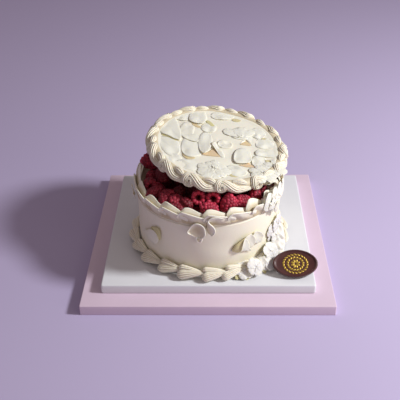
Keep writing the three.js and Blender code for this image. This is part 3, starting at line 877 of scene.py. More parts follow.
def heapFruit():
    # Berries in rings inside the heap's outline and single ones in its gaps, and under them a low bed with
    # lumps, a product of two sines, that rises to a smaller core. The bed is at the deepest red, painted
    # shade under the berries.
    random = np.random.default_rng(heapMade["seed"])
    shapes = []
    for ring, (radius, level, count) in enumerate(heapMade["rings"]):
        for place in range(count):
            angle = turn * (place + 0.4 * ring) / count + random.uniform(-0.1, 0.1)
            spot = onCake(angle, radius * mm + random.uniform(-2, 2) * mm, bodyTop + level * mm)
            fromFront = abs((math.degrees(angle) - heapMade["front"] + 180) % 360 - 180)
            inFront = fromFront < heapMade["clear"] and radius > heapMade["clearRadius"]
            lidOver = lidMiddle[2] - ((spot - lidMiddle)[:2] @ lidAxes[2][:2]) / lidAxes[2][2]
            if not inFront and spot[2] + heapMade["underLid"] <= lidOver:
                shapes.append(heapBerry(random, len(shapes), heapMade["light"], spot))
    for degrees, radius, level in heapMade["filling"]:
        spot = onCake(math.radians(degrees), radius * mm, bodyTop + level * mm)
        shapes.append(heapBerry(random, len(shapes), heapMade["fillingLight"], spot))
    angle = roundTurn(90)[None, :]
    radius, level = (np.array(values)[:, None] * mm for values in zip(*heapMade["bed"]))
    x, y = heapMade["lumps"] * radius * np.cos(angle), heapMade["lumps"] * radius * np.sin(angle)
    lumps = np.sin(x) * np.sin(y + 1)
    core = tube(onCake(angle, radius + mm * lumps, bodyTop + level + 2 * mm * lumps * (level > 3 * mm)),
                {"bead": 0.0})
    return joined(shapes + [core])


addPiece("raspberry_heap", heapFruit(), fruit, ["berry_heap"])
print("raspberries made")

# Petals: their thickness in millimetres, and the rings and points of each.
petalMade = {"thickness": 0.4, "across": 10, "around": 44}


def closedCurve(points, count):
    # A smooth closed curve through the points.
    points = np.asarray(points, float)
    ahead = np.roll(points, -1, 0)
    slopes = (ahead - np.roll(points, 1, 0)) / 2
    along = np.arange(count) * len(points) / count
    k = along.astype(int)
    return cubic((along - k)[:, None], points[k], slopes[k], ahead[k], np.roll(slopes, -1, 0)[k])


def petal(knots, dome, crimp, seed, tint=0.0, fold=0.0):
    # A petal inside a closed outline, in millimetres with a height at each knot. A point at a share of the
    # way from the middle to the outline has share^2 of the outline's height, a dome of 1 - share^2, sine
    # waves that grow as share^3 and broad folds of 4 share^2 (1 - share^2). The under side lies a thickness
    # below and closes round the edge.
    random = np.random.default_rng(seed)
    rim = closedCurve(knots, petalMade["around"])
    middle = rim.mean(0)
    share = np.linspace(0.06, 1, petalMade["across"])[:, None]
    angle = roundTurn(petalMade["around"])[None, :]
    phases = random.uniform(0, turn, 4)
    wave = np.sin(6 * angle + phases[0]) + 0.6 * np.sin(11 * angle + phases[1])
    broad = np.sin(2 * angle + phases[2]) + 0.6 * np.sin(3 * angle + phases[3])
    flat = middle[:2] + share[..., None] * (rim[:, :2] - middle[:2])
    height = middle[2] + share ** 2 * (rim[:, 2] - middle[2]) + dome * (1 - share ** 2)
    height = height + crimp * share ** 3 * wave + 4 * fold * share ** 2 * (1 - share ** 2) * broad
    below = height - petalMade["thickness"] * (0.3 + 0.7 * np.sqrt(1 - share ** 6))
    upper = np.concatenate([flat, height[..., None]], -1)
    lower = np.concatenate([flat, below[..., None]], -1)[::-1]
    # The under mark paints the warm shade on the under side, and the tint lays that much of it on the upper
    # face; the tint is also the gold mark.
    side = np.concatenate([np.full(petalMade["across"], tint), np.ones(petalMade["across"])])[:, None]
    return tube(np.concatenate([upper, lower]) * mm, {"under": side, "gold": tint})


# One petal of a fan: its outline in shares of its length, half its width and its lift, how far it is raised
# in millimetres, its dome as a share of its width, and how unevenly the fan opens.
fanMade = {"outline": ((0.02, 0, 0.9), (0.35, -0.7, 0.7), (0.75, -1, 0.25), (1, -0.4, 0), (1, 0.4, 0),
                       (0.75, 1, 0.25), (0.35, 0.7, 0.7)),
           "raised": 0.7, "dome": 0.04, "uneven": 0.2}


def fan(count, length, width, lift, crimp, seed, way=0.0, spread=360.0):
    # Egg-shaped petals that open from one place, in the middle lifted, and fall to their tips.
    random = np.random.default_rng(seed)
    shapes = []
    for k in range(count):
        uneven = random.uniform(-fanMade["uneven"], fanMade["uneven"])
        angle = math.radians(way + spread * (k + uneven) / count)
        size = np.array([length * random.uniform(0.85, 1.1), width / 2 * random.uniform(0.85, 1.15),
                         lift * random.uniform(0.6, 1.2)])
        knots = np.array(fanMade["outline"]) * size + (0, 0, fanMade["raised"])
        c, s = math.cos(angle), math.sin(angle)
        knots[:, :2] = knots[:, :2] @ np.array([[c, s], [-s, c]])
        shapes.append(petal(knots, fanMade["dome"] * width, crimp, 31 * seed + k))
    return joined(shapes)


def placed(shape, place):
    # The shape's points, each put on a surface by its way along, its way up and its height over it.
    return {**shape, "points": place(*shape["points"].T)}


# How much farther away a raised point of the lid looks than it is, as a share of its height, and how much
# flatter and deeper, in millimetres, the petals are laid, so that their edges sink in.
seenMade = {"farther": 1.26, "flatter": 0.95, "sunk": 0.52}


def seen(knots):
    # Outlines on the lid are given as they are seen from the camera. This takes them to where they are.
    knots = np.array(knots, float)
    knots[:, 2] = seenMade["flatter"] * knots[:, 2] - seenMade["sunk"]
    knots[:, 1] -= seenMade["farther"] * knots[:, 2]
    return knots


# Petals on the lid: the outline's places and heights in millimetres, the dome, the crimp and the tint, the
# share of painted warm shade on the upper face.
lidPetals = {
    "lid_petal_west": (((-34, 9, 0.4), (-43, 5, 0.5), (-45.5, -10, 0.6), (-44, -24, 1.0),
                        (-38, -33, 1.8), (-27, -33, 1.4), (-19, -24, 0.5),
                        (-22, -4, 0.4)), 0.7, 0.1, 0.0),
    "lid_petal_tuft": (((-23, -15, 1.2), (-25, 4, 0.8), (-21, 20, 0.5), (-12, 25, 0.5), (-7, 10, 1.0),
                        (-8, -5, 2.6), (-12, -18, 3.6), (-18, -23, 3.0)), 0.8, 0.15, 0.0),
    "lid_petal_blade": (((-8, 0, 4.5), (-4, 4, 4.2), (1, -5, 3.2), (6, -15, 2), (9, -27, 0.6),
                         (4, -27, 0.8), (-1, -17, 2.4), (-5, -8, 4)), 0.3, 0.0, 0.0),
    "lid_petal_middle": (((18.5, 1, 1.9), (16, 8, 1.7), (9, 10.5, 1.7), (2, 8, 1.9), (-0.5, 1, 1.7),
                          (3, -6, 1.2), (9, -8.5, 1.0), (16, -6, 1.2)), -1.1, 0.1, 0.35),
    "lid_petal_crown": (((27, 5, 0.5), (31, 12, 1.8), (36, 16, 3), (41, 12, 1.8), (44, 5, 0.5),
                         (47, 18, 0.4), (38, 28, 0.4), (27, 20, 0.4)), 0.5, 0.1, 0.05),
    "lid_petal_east": (((21, -35, 2.8), (19.5, -22, 3.2), (23, -8, 1.4), (31, -3, 0.5), (39, -8, 0.8),
                        (42, -20, 2.4), (40, -31, 3.2), (31, -36, 2.6)), 1.0, 0.1, 0.0),
    "lid_petal_far_east": (((43, -37, 1.4), (42, -26, 1.4), (46, -17, 0.6), (57, -17, 0.5),
                            (62, -29, 0.6), (59, -38, 1), (50, -43, 1.2)), 0.8, 0.1, 0.0),
    "lid_petal_north": (((-38, 48, 2.4), (-38, 62, 1.2), (-32, 75, 0.6), (-22, 77, 0.6),
                         (-16, 66, 1.2), (-15, 54, 2.2), (-21, 44, 3.2), (-30, 43, 3.2)), 1.2, 0.15, 0.0),
    "lid_petal_back": (((-8, 60, 1.2), (-9, 70, 0.8), (2, 79, 0.6), (15, 79, 0.6), (22, 71, 0.8),
                        (16, 62, 1.4), (4, 58, 1.6)), 0.8, 0.3, 0.0),
    "lid_petal_flat": (((17, 20, 1.4), (18, 33, 0.8), (25, 43, 0.5), (37, 45, 0.5), (46, 33, 0.6),
                        (41, 21, 1.0), (29, 16, 1.6)), 0.5, 0.35, 0.0),
    "lid_petal_inner": (((-47, 12, 1.0), (-41, 18, 0.6), (-29, 17, 0.5), (-21, 9, 0.8), (-26, 0, 1.8),
                         (-36, 2, 2), (-44, 7, 1.5)), 0.4, 0.1, 0.1),
    "lid_petal_fold": (((-47, 12, 0.9), (-49, 28, 0.8), (-44, 41, 0.5), (-34, 43, 0.5), (-30, 28, 0.8),
                        (-34, 11, 1.2)), 0.9, 0.1, 0.3),
    "lid_petal_north_west": (((-72, 12, 1.8), (-76, 28, 0.8), (-71, 44, 0.5), (-60, 55, 0.8),
                              (-53, 42, 1.6), (-48, 22, 1.8), (-46, 2, 2.2), (-53, 1, 2.0),
                              (-62, 7, 2.2)), 0.3, 0.15, 0.0),
}
for k, (node, (knots, dome, crimp, tint)) in enumerate(lidPetals.items()):
    shape = placed(petal(seen(knots), 0.5 * dome, crimp, 80 + k, tint, 0.5), onLid)
    addPiece(node.replace("petal", "flower"), shape, petalWhite, [node])

# Fans on the lid: how many petals, their length, width, lift and crimp, the seed, the way that the first
# points and the spread in degrees, and the fan's place in millimetres.
southFans = ((9, 19, 14, 1.8, 0.25, 12, 0, 360, -4, -57), (6, 11, 9, 2.8, 0.3, 14, 20, 360, -4, -56))
looseFans = ((7, 17, 13, 2.0, 0.3, 15, 0, 360, 55, -55), (6, 17, 13, 2.0, 0.3, 17, 30, 360, 70, -38),
             (4, 24, 14, 1.2, 0.25, 18, 50, 120, 29, 19))


def lidFan(made):
    x, y = made[-2:]
    return placed(fan(*made[:-2]), lambda a, b, height: onLid(x * mm + a, y * mm + b, height))


addPiece("lid_flower_south", joined([lidFan(made) for made in southFans]), petalWhite,
         ["lid_petal_south"])

# Petals that fill the lid between those: outline and dome.
loosePetals = (
    (((46, -9, 0.8), (52, -2, 0.5), (66, 0, 0.5), (77, -6, 0.8), (76, -14, 1.2), (62, -17, 1.5),
      (49, -16, 1.2)), 0.5),
    (((10, -50, 0.6), (16, -43, 0.5), (29, -45, 0.7), (36, -54, 0.9), (28, -63, 1.0),
      (17, -62, 0.9)), 0.6),
    (((-56, 50, 0.8), (-52, 63, 0.5), (-40, 68, 0.5), (-36, 56, 1), (-41, 47, 1.5), (-50, 46, 1.4)), 0.6),
    (((48, 4, 0.8), (50, 20, 0.5), (62, 27, 0.5), (72, 16, 0.8), (70, 5, 1.2), (58, 0, 1.2)), 0.6),
    (((-73, -8, 1), (-74, 3, 0.6), (-62, 3, 0.5), (-50, -4, 0.5), (-46, -18, 0.8), (-48, -32, 1.0),
      (-58, -36, 1.1), (-68, -26, 1.1)), 0.5),
    (((-48, -44, 0.6), (-38, -40, 0.5), (-24, -40, 0.6), (-20, -52, 0.7), (-28, -61, 0.8),
      (-42, -58, 0.8)), 0.5),
    (((-22, 30, 0.6), (-20, 42, 0.5), (-10, 48, 0.5), (-2, 40, 0.6), (-4, 28, 0.9), (-14, 24, 1.0)), 0.6),
    (((44, 26, 0.7), (42, 40, 0.5), (52, 48, 0.5), (62, 40, 0.6), (60, 28, 1.0), (52, 22, 1.0)), 0.5),
    (((-66, -34, 0.8), (-56, -30, 0.6), (-44, -36, 0.6), (-44, -48, 0.8), (-56, -52, 1.0)), 0.5),
)
looseShapes = [placed(petal(seen(knots), dome, 0.1, 130 + k, fold=0.6), onLid)
               for k, (knots, dome) in enumerate(loosePetals)]
addPiece("lid_loose_petals", joined(looseShapes + [lidFan(made) for made in looseFans]), petalWhite)

# Olive and gold slips between the petals on the lid, as seen: mostly painted shade, under lifted petal
# edges and in the cavities between petals, and in part the petals' olive bases. How golden each is, and its
# outline.
baseAndShadeSlips = (
    (0.9, ((-20, -26), (-12, -20), (-4, -9), (0, -18), (5, -26), (-6, -27.5))),
    (0.8, ((28, 4.5), (32, 10), (36, 14), (40, 10), (42, 4.5), (35, 3.5))),
    (1.0, ((26, -40), (34, -37), (38, -30), (40, -36), (46, -40.5), (36, -42.5))),
    (0.7, ((-36, 46), (-33, 42), (-27, 39), (-20, 34), (-26, 33), (-34, 39))),
    (0.1, ((-72, 10), (-66, 10), (-56, 7), (-48, -1), (-53, -2), (-62, 4), (-70, 6))),
    (0.3, ((58, -25), (64, -23), (72, -24), (72, -29), (66, -29.5))),
    (0.2, ((55, 22), (60, 25), (69, 22), (67, 17), (60, 17))),
    (0.3, ((68, 12), (73, 12), (78, 6), (74, 4), (69, 8))),
    (0.3, ((18, 60), (22, 64), (30, 62), (28, 58), (22, 57))),
    (0.0, ((-16, 50), (-12, 52), (-7, 46), (-4, 38), (-9, 34), (-11, 42))),
    (0.5, ((-43, -28), (-39, -30), (-29, -33), (-28, -37), (-36, -39.5), (-42, -34))),
    (0.2, ((14, -61), (18, -59), (26, -61), (24, -65), (17, -65))),
)
slipShapes = [placed(petal(seen([(x, y, 0.8) for x, y in outline]), 0.2, 0.0, 160 + k, golden), onLid)
              for k, (golden, outline) in enumerate(baseAndShadeSlips)]
addPiece("lid_base_and_shade_slips", joined(slipShapes), baseAndShade)


def onWall(along, up, height):
    # A point over the wall: the way along it is the turn times the wall's radius.
    return onCake(along / wallRadius, wallRadius + height, up)


def wallPetal(knots, dome, crimp, seed, tint):
    # A petal on the wall, its outline given in degrees, height above the floor and distance out.
    knots = np.array(knots, float)
    knots[:, 0] = np.radians(knots[:, 0]) * wallRadius / mm
    return placed(petal(knots, dome, crimp, seed, tint), onWall)


# Petals on the wall: the node, then for each petal its outline, dome, crimp and tint, the share of painted
# warm shade on the upper face.
wallPetals = {
    "wall_petal_left": ((((209, 61, 1.5), (215, 67.5, 2.5), (221, 74.5, 2.5), (227, 74, 2.5),
                          (229.5, 66, 2.5), (227, 58, 2.5), (221, 55, 2),
                          (214, 56, 1.5)), 1.2, 0.2, 0.6),),
    "wall_petal_middle": ((((294, 58, 3), (294.6, 66, 6.5), (297, 76, 5), (300, 72, 3.5), (302, 66, 3),
                            (302.5, 60, 3), (304, 53, 2), (299, 57, 2.5)), -0.6, 0.2, 0.0),
                          (((297, 76, 4.2), (303, 78.5, 3), (307, 71, 4), (307.5, 63, 3), (304, 58, 2),
                            (301, 61, 1.5), (300, 68, 2)), -0.8, 0.2, 0.3)),
    "wall_petal_upper": ((((305.5, 70, 2), (307.5, 79, 2), (312, 76, 4), (314.8, 69, 4.5),
                           (313, 61, 3.5), (308.5, 61, 1.5)), -0.8, 0.2, 0.05),),
    "rim_petal_right": ((((323, 96, 5.5), (324, 108, 7), (326, 118, 7), (329, 118, 6), (330.5, 107, 6),
                          (328, 97, 5)), 1.2, 0.5, 0.0),
                        (((318, 104, 6), (320, 114, 7.5), (323.5, 119, 6.5), (325, 110, 7),
                          (322, 102, 6.5)), 0.8, 0.4, 0.2)),
    "rim_petal_left": ((((184, 92, 3.5), (184, 104, 6.5), (188, 109, 6.5), (192, 104, 6),
                         (191.5, 93, 4), (188, 88.5, 3)), 1.4, 0.5, 0.1),),
}
for k, (node, petals) in enumerate(wallPetals.items()):
    shapes = [wallPetal(knots, dome, crimp, 60 + 5 * k + j, tint)
              for j, (knots, dome, crimp, tint) in enumerate(petals)]
    addPiece(node.replace("petal", "flower"), joined(shapes), petalWhite, [node])

# Petals that hang from the lid's edge over the rim at the right: outline and tint, the share of painted warm
# shade on the upper face.
hangingPetals = (
    (((314, 105, 4.5), (315, 118, 5.5), (318, 125, 4.5), (322, 123, 5), (323, 112, 6.5),
      (320.5, 102, 6)), 0.0),
    (((320, 103, 5.5), (321, 120, 6), (325, 128, 5), (329, 125, 5.5), (330, 112, 7),
      (327, 100, 6.5)), 0.1),
    (((328, 104, 5), (329, 120, 6), (333, 129, 5), (337, 125, 5), (337, 112, 6.5), (333, 101, 6)), 0.0),
    (((325, 97, 6.5), (325.5, 105, 8), (328, 108, 8.5), (331, 105, 8), (331, 97, 7),
      (328.5, 91, 6)), 1.0),
    (((336, 106, 5), (337, 120, 6), (341, 127, 5), (345, 122, 5), (344, 110, 6), (340, 103, 5.5)), 0.0),
)
hangingShapes = [wallPetal(knots, 0.8, 0.25, 180 + k, tint) for k, (knots, tint) in enumerate(hangingPetals)]
addPiece("rim_loose_petals", joined(hangingShapes), petalWhite)

# A petal painted olive as shade, for it lies in the shade of the next one, and a slip of painted olive shade
# on the curled edge of the left one.
shadedKnots = ((288, 61, 1.5), (290, 67.5, 2.5), (292.5, 72, 3.2), (297, 76.5, 4.5), (295.3, 70, 6),
               (294.6, 64, 6.5), (294, 58.5, 4), (291, 58, 2.2))
leftShadeKnots = ((220, 76, 1.2), (224.5, 80, 1.6), (229.5, 81.5, 2), (231.3, 75, 2), (230.5, 65, 1.6),
                 (229, 67, 2.6), (227.8, 73.5, 3), (223, 75.6, 2.6))
addPiece("wall_flower_shaded", wallPetal(shadedKnots, 0.3, 0.1, 71, 0.15), baseAndShade,
         ["wall_petal_shaded"])
addPiece("wall_petal_shade", wallPetal(leftShadeKnots, 0.2, 0.0, 73, 0.0), baseAndShade)

# Flowers at the foot: the node and its tilt, then how many petals, their length, width and lift, and the
# way that the first points.
footFlowers = {
    "foot_petal_side": (0.0, (7, 14, 13, 2.0, 40)), "foot_petal_right": (0.6, (6, 12, 12, 1.8, 80)),
    "foot_petal_front": (0.6, (5, 11, 12, 1.6, 60)), "foot_petal_corner": (0.6, (5, 9, 10, 1.6, 20)),
}
# Flowers heaped between them, and olive slips: the petals as above, how far each flower is turned on from
# the last, and their places: turn in degrees, radius and height above the floor in millimetres, and tilt.
heapedMade = {"petals": (6, 13, 11, 3.0), "turnedOn": 50,
              "places": ((309, 97, 34, 0.9), (297, 98, 34, 1.0), (315, 98, 34, 0.9), (327, 97, 37, 0.6),
                         (333, 94, 52, 0.2), (341, 96, 40, 0.5), (329, 91.5, 62, 0.0), (345, 92, 58, 0.0))}
slipsMade = {"petals": (2, 6.5, 5, 0.8), "turnedOn": 70,
             "places": ((291.5, 101.5, 30, 0.7), (296, 104.5, 28, 0.9), (309, 105, 31, 0.7),
                        (314, 98, 43, 0.3))}
# The double flower: the crimp of its petals, the count, length, width and lift of its inner ones, the last
# three as shares of the outer ones', and how far its back is sunk in.
doubleMade = {"crimp": 0.3, "inner": 3, "length": 0.5, "width": 0.8, "lift": 1.3, "sunk": 2.5 * mm}


def footSpot(around, out, up):
    return onCake(np.radians(around), out * mm, up * mm)


def footFlower(middle, tilt, made, seed):
    # A double fan, its back towards the cake's axis and turned up by the tilt.
    away = unit(middle[:2] - cakeAxis)
    outward = np.array([away[0] * math.cos(tilt), away[1] * math.cos(tilt), math.sin(tilt)])
    across = np.array([-away[1], away[0], 0])
    count, length, width, lift, way = made
    outer = fan(count, length, width, lift, doubleMade["crimp"], seed, way)
    inner = fan(doubleMade["inner"], doubleMade["length"] * length, doubleMade["width"] * width,
                doubleMade["lift"] * lift, doubleMade["crimp"], seed + 50, way)
    axes = np.array([across, np.cross(outward, across), outward])
    return moved(joined([outer, inner]), axes, middle - doubleMade["sunk"] * outward)


def flowersAt(made, seed):
    # A double flower at each place.
    return joined([footFlower(footSpot(*spot), tilt, (*made["petals"], made["turnedOn"] * k), seed + k)
                   for k, (*spot, tilt) in enumerate(made["places"])])


for k, (node, (tilt, made)) in enumerate(footFlowers.items()):
    addPiece(node.replace("petal", "flower"), footFlower(middleOf(node), tilt, made, 20 + k), footWhite,
             [node])

addPiece("foot_loose_petals", flowersAt(heapedMade, 40), footWhite)

# The lumpy cream that they lie in, and that the hanging petals lie on: each path is turn in degrees, radius
# and height above the floor, and its own radius. Swell and shift say how lumpy it is.
bedsMade = {
    "foot": ((297, 96, 28, 3), (303, 97, 30, 8), (312, 96.5, 31, 9.5), (322, 96, 33, 10),
             (331, 94.5, 38, 9.5), (337, 92.5, 47, 8), (341, 91, 56, 6.5), (343, 90, 64, 4),
             (344, 89.5, 70, 1.5)),
    "rim": ((314, 89, 104, 2), (318, 89.5, 109, 5), (324, 89.5, 112, 6.5), (331, 89.5, 113, 6.5),
            (338, 89, 113, 6.5), (344, 88, 112, 2)),
    "swell": 0.14, "shift": 0.7 * mm, "lump": (5 * mm, 4 * mm),
}


def petalBed(path):
    # A rope along the path, its radius 1 + swell * ripple, and its points shifted by another ripple.
    around, out, up, radii = curveThrough(path, 90).T
    radii = radii * (1 + bedsMade["swell"] * ripple(np.linspace(0, 6, 90), 0.0, 4)) * mm
    shape = sweep(footSpot(around, out, up), upwards(90), radii, columns=32)
    points, (wide, high) = shape["points"], bedsMade["lump"]
    points += bedsMade["shift"] * ripple(points[:, 0] / wide, points[:, 2] / high, 9)[:, None] * (1, -1, 0.5)
    return onBoard(shape)


addPiece("foot_petal_bed", petalBed(bedsMade["foot"]), footWhite)
addPiece("rim_petal_bed", petalBed(bedsMade["rim"]), petalWhite)
addPiece("foot_petal_slips", flowersAt(slipsMade, 90), baseAndShade)
print("petals made")

# The ribbon end that hangs over the front, and the knob under it. The outline goes round its middle in
# degrees anticlockwise from the right and millimetres out; it stands out more at the left corner and less
# at the bottom.
drapeMade = {"turn": 262.3, "height": 93 * mm, "out": 1.2 * mm, "rimOut": 3.6 * mm, "thickness": 1.5 * mm,
             "bead": 0.75 * mm, "corner": (188, 0.75), "low": (275, 0.6), "power": 2.6, "crease": 0.9,
             "outline": ((0, 9.2), (30, 9.8), (60, 10.4), (90, 10.8), (125, 9.6), (163, 9.0), (186, 11.4),
                         (208, 8.9), (240, 8.4), (268, 10.4), (300, 12.2), (325, 11.0))}
knobMade = {"radius": 1.5 * mm, "out": 2.6 * mm,
            "path": ((-1.6, -9.0), (-1.5, -12.0), (0.2, -15.0), (2.6, -15.6), (4.6, -13.5), (5.2, -10.0),
                     (5.6, -7.5))}


def onFront(side, up, out):
    # A point on the wall: side and up counted from the drape's middle, out from the wall.
    angle = math.radians(drapeMade["turn"]) + side / (wallRadius + 3 * mm)
    return onCake(angle, wallRadius + out, drapeMade["height"] + up)


def drape():
    # A bowl hung on the wall: from the middle to the outline it stands out as a power of the way. The back
    # is the same, set in by the thickness. A round bead runs along its edge.
    knots = np.array(drapeMade["outline"], float)
    around = np.linspace(0, 360, 84, endpoint=False)
    reach = np.interp(around, knots[:, 0], knots[:, 1], period=360)
    reach = sum(np.roll(reach, k) for k in (-2, -1, 0, 1, 2)) / 5 * mm
    (cornerAt, more), (lowAt, less) = drapeMade["corner"], drapeMade["low"]
    corner = np.exp(-((around - cornerAt) / 26) ** 2)
    low = np.exp(-((around - lowAt) / 26) ** 2)
    rimOut = drapeMade["rimOut"] * (1 + more * corner - less * low)
    share = np.concatenate([np.linspace(0.06, 1, 18), np.linspace(1.0, 0.06, 18)])[:, None]
    back = np.concatenate([np.zeros(18), np.ones(18)])[:, None] * drapeMade["thickness"]
    roll = np.sqrt(np.clip(1 - share ** 12, 0, 1))
    out = drapeMade["out"] + rimOut * share ** drapeMade["power"] - back * roll
    angle = np.radians(around)
    away = reach * share * (1 - 0.03 * (back > 0))
    # The crease mark paints shade into the bowl, darkest in its middle and none at its edge.
    bowl = tube(onFront(away * np.cos(angle), away * np.sin(angle) + mm, out),
                {"crease": drapeMade["crease"] * (1 - share ** 1.8)})
    phi = roundTurn(10)[:, None]
    bead = drapeMade["bead"]
    away = reach - 0.6 * bead + bead * np.cos(phi)
    edge = closedRing(onFront(away * np.cos(angle), away * np.sin(angle) + mm,
                              drapeMade["out"] + rimOut + bead * np.sin(phi)), 0.0)
    return joined([bowl, edge])


def strand(points, radius, out, count=44):
    # A round bead of cream along a curve on the wall, its points given in millimetres.
    flat = curveThrough(np.array(points) * mm, count)
    path = onFront(flat[:, 0], flat[:, 1], out)
    lifts = onFront(flat[:, 0], flat[:, 1], out + mm) - path
    t = np.linspace(0, 1, count)
    return sweep(path, lifts, radius * np.sin(math.pi * (0.05 + 0.9 * t)) ** 0.35, columns=12)


knob = strand(knobMade["path"], knobMade["radius"], knobMade["out"])
addPiece("drape_leaf", joined([drape(), knob]), cream, ["front_drape"])

# The loop's free edge, and the root line that it grows from on the wall, each by turn in degrees and height
# in millimetres. From the root it reaches out so many millimetres more, and a bead runs along its edge.
loopMade = {
    "edge": ((281, 110.5), (277, 112.5), (273.4, 112.4), (271, 110.3), (270.2, 107.5), (271.4, 104),
             (273.5, 100.5), (274.7, 96.5), (274.9, 93), (274.1, 89.8), (272.6, 87.2)),
    "root": ((281, 103), (278.5, 103.5), (276, 103.5), (273.5, 103.5), (270.5, 103.5), (269.2, 102),
             (268.9, 99), (268.9, 96), (269.3, 93), (269.9, 90), (270.8, 87.6)),
    "rootOut": 0.6, "reach": 4.2, "beadOut": 4.6 * mm, "bead": 0.9 * mm,
}


def loopSheet():
    # A ribbon between the wall line and the free edge, standing out as the 1.6th power of the way across,
    # and a round bead along the free edge.
    edge, root = curveThrough(loopMade["edge"], 60), curveThrough(loopMade["root"], 60)
    s = np.linspace(0, 1, 16)[None, :]
    angle = np.radians(root[:, :1] + (edge - root)[:, :1] * s)
    height = (root[:, 1:] + (edge - root)[:, 1:] * s) * mm
    out = (loopMade["rootOut"] + loopMade["reach"] * s ** 1.6) * mm
    # The crease mark paints shade onto the ribbon, darkest at its root on the wall and none at its free edge.
    ribbon = sheet(onCake(angle, wallRadius + out, height), (1.7 - 0.5 * s) * mm + 0 * height,
                   {"crease": 0.95 * (1 - s) ** 1.2})
    rim = onCake(np.radians(edge[:, 0]), wallRadius + loopMade["beadOut"], edge[:, 1] * mm)
    lifts = rim - onCake(np.radians(edge[:, 0]), wallRadius, edge[:, 1] * mm)
    taper = np.sin(math.pi * np.linspace(0.05, 0.95, 60)) ** 0.4
    return joined([ribbon, sweep(rim, lifts, loopMade["bead"] * taper, columns=10)])


addPiece("loop_ribbon", loopSheet(), cream, ["drape_loop"])
print("drape made")

# The chocolate plaque: it leans back by so many degrees. Its profile is the scale of the outline, and then
# the height over the flat back in millimetres: round edge, raised rim, and a floor just below it.
plaqueMade = {
    "width": 54 * mm, "height": 34.5 * mm, "thick": 5 * mm, "lean": 35,
    "profile": ((0.3, 0), (0.9, 0), (0.955, 0.15), (0.985, 0.6), (1.0, 1.3), (1.0, 3.6), (0.985, 4.5),
                (0.965, 4.9), (0.935, 5.0), (0.91, 4.85), (0.89, 4.3), (0.875, 3.75), (0.85, 3.6), (0.5, 3.6),
                (0.2, 3.6)),
}
# The gold on it, in millimetres: how high the leaves lie and how thick they are, how far the middle lies
# under the plaque's, and for each ring of leaves how many, its reach across and up, their length and width,
# and their turn from the ring's own way.
sprigMade = {
    "level": 3.7 * mm, "thick": 0.45 * mm, "under": 0.5 * mm,
    "rings": ((8, 3.6, 3.6, 5.2, 2.9, math.pi / 2), (16, 9.2, 7.8, 4.6, 2.5, 0.6),
              (22, 14.2, 11.4, 4.8, 2.3, -0.5)),
}
# The swirl of cream behind it: radius, points of its star section, their depth and its twist.
dabMade = {"radius": 9.2 * mm, "least": 0.4 * mm, "points": 8, "depth": 0.2, "twist": 1.5}

plaqueLow, plaqueHigh = corners("plaque")
plaqueLean = math.radians(plaqueMade["lean"])
plaqueAxes = np.array([[1, 0, 0], [0, math.cos(plaqueLean), math.sin(plaqueLean)],
                       [0, -math.sin(plaqueLean), math.cos(plaqueLean)]])
plaqueOrigin = np.array([(plaqueLow[0] + plaqueHigh[0]) / 2,
                         plaqueLow[1] + plaqueMade["thick"] * math.sin(plaqueLean), plaqueLow[2]])


def plaqueOutline(angle):
    # An ellipse drawn out a little at its two ends.
    return np.stack([plaqueMade["width"] / 2 * np.cos(angle),
                     plaqueMade["height"] / 2 * np.sin(angle) * (1 - 0.05 * np.cos(angle) ** 2)], -1)


def plaqueTablet():
    # The outline, scaled and raised along the profile.
    scale, level = np.array(plaqueMade["profile"]).T
    level = level * mm
    angle = roundTurn(120)
    flat = scale[:, None, None] * plaqueOutline(angle)[None] + (0, plaqueMade["height"] / 2)
    return moved(tube(xyz(flat[..., 0], flat[..., 1], level[:, None])), plaqueAxes, plaqueOrigin)


addPiece("plaque_tablet", plaqueTablet(), chocolate, ["plaque"])


def leafOnPlaque(x, y, length, width, point):
    # A small raised leaf: its half width and its height are sines along its length.
    u = np.linspace(0.04, 0.96, 12)[:, None]
    s = roundTurn(10)[None, :]
    half = width / 2 * np.sin(math.pi * u)
    c, d = math.cos(point), math.sin(point)
    along, across = length * (u - 0.5) + 0 * s, half * np.cos(s)
    up = sprigMade["thick"] * np.sin(math.pi * u) * np.sin(s)
    return tube(xyz(x + along * c - across * d, y + along * d + across * c, sprigMade["level"] + up))


def goldSprig():
    # A blossom of eight leaves inside two oval wreaths, whose leaves follow the ovals with a small tilt.
    shapes = []
    cy = plaqueMade["height"] / 2 - sprigMade["under"]
    for count, reachX, reachY, length, width, tilt in sprigMade["rings"]:
        for k in range(count):
            way = turn * (k + 0.5) / count
            x, y = reachX * math.cos(way) * mm, reachY * math.sin(way) * mm
            along = math.atan2(reachY * math.cos(way), -reachX * math.sin(way)) + tilt
            shapes.append(leafOnPlaque(x, cy + y, length * mm, width * mm, along))
    return moved(joined(shapes), plaqueAxes, plaqueOrigin)


addPiece("plaque_sprig", goldSprig(), gold)


def plaqueDab():
    # A swirl of cream: a star section that narrows and turns as it climbs.
    low, high = corners("plaque_dab")
    t = np.linspace(0, 1, 30)
    path = xyz((low[0] + high[0]) / 2, (low[1] + high[1]) / 2, low[2] + (high[2] - low[2]) * t)
    radii = dabMade["radius"] * (1 - t) ** 0.45 * (0.9 + 0.1 * np.sin(6 * t)) + dabMade["least"]
    lifts = np.broadcast_to((0.0, 1.0, 0.0), path.shape)
    return sweep(path, lifts, radii, dabMade["points"], dabMade["depth"], twist=dabMade["twist"], columns=48)


addPiece("dab_swirl", plaqueDab(), cream, ["plaque_dab"])
print("plaque made")

# Floor, light and camera: the floor's colour, roughness and corners, the light from all round, and the
# point that the lights look at.
stageMade = {"floor": (0.53, 0.46, 0.672), "roughness": 0.8,
             "corners": ((-4, -3, 0), (4, -3, 0), (4, 6, 0), (-4, 6, 0)),
             "fill": 0.27, "fillColour": (0.91, 0.77, 0.80), "lightsAim": (0, 0, 0.08)}
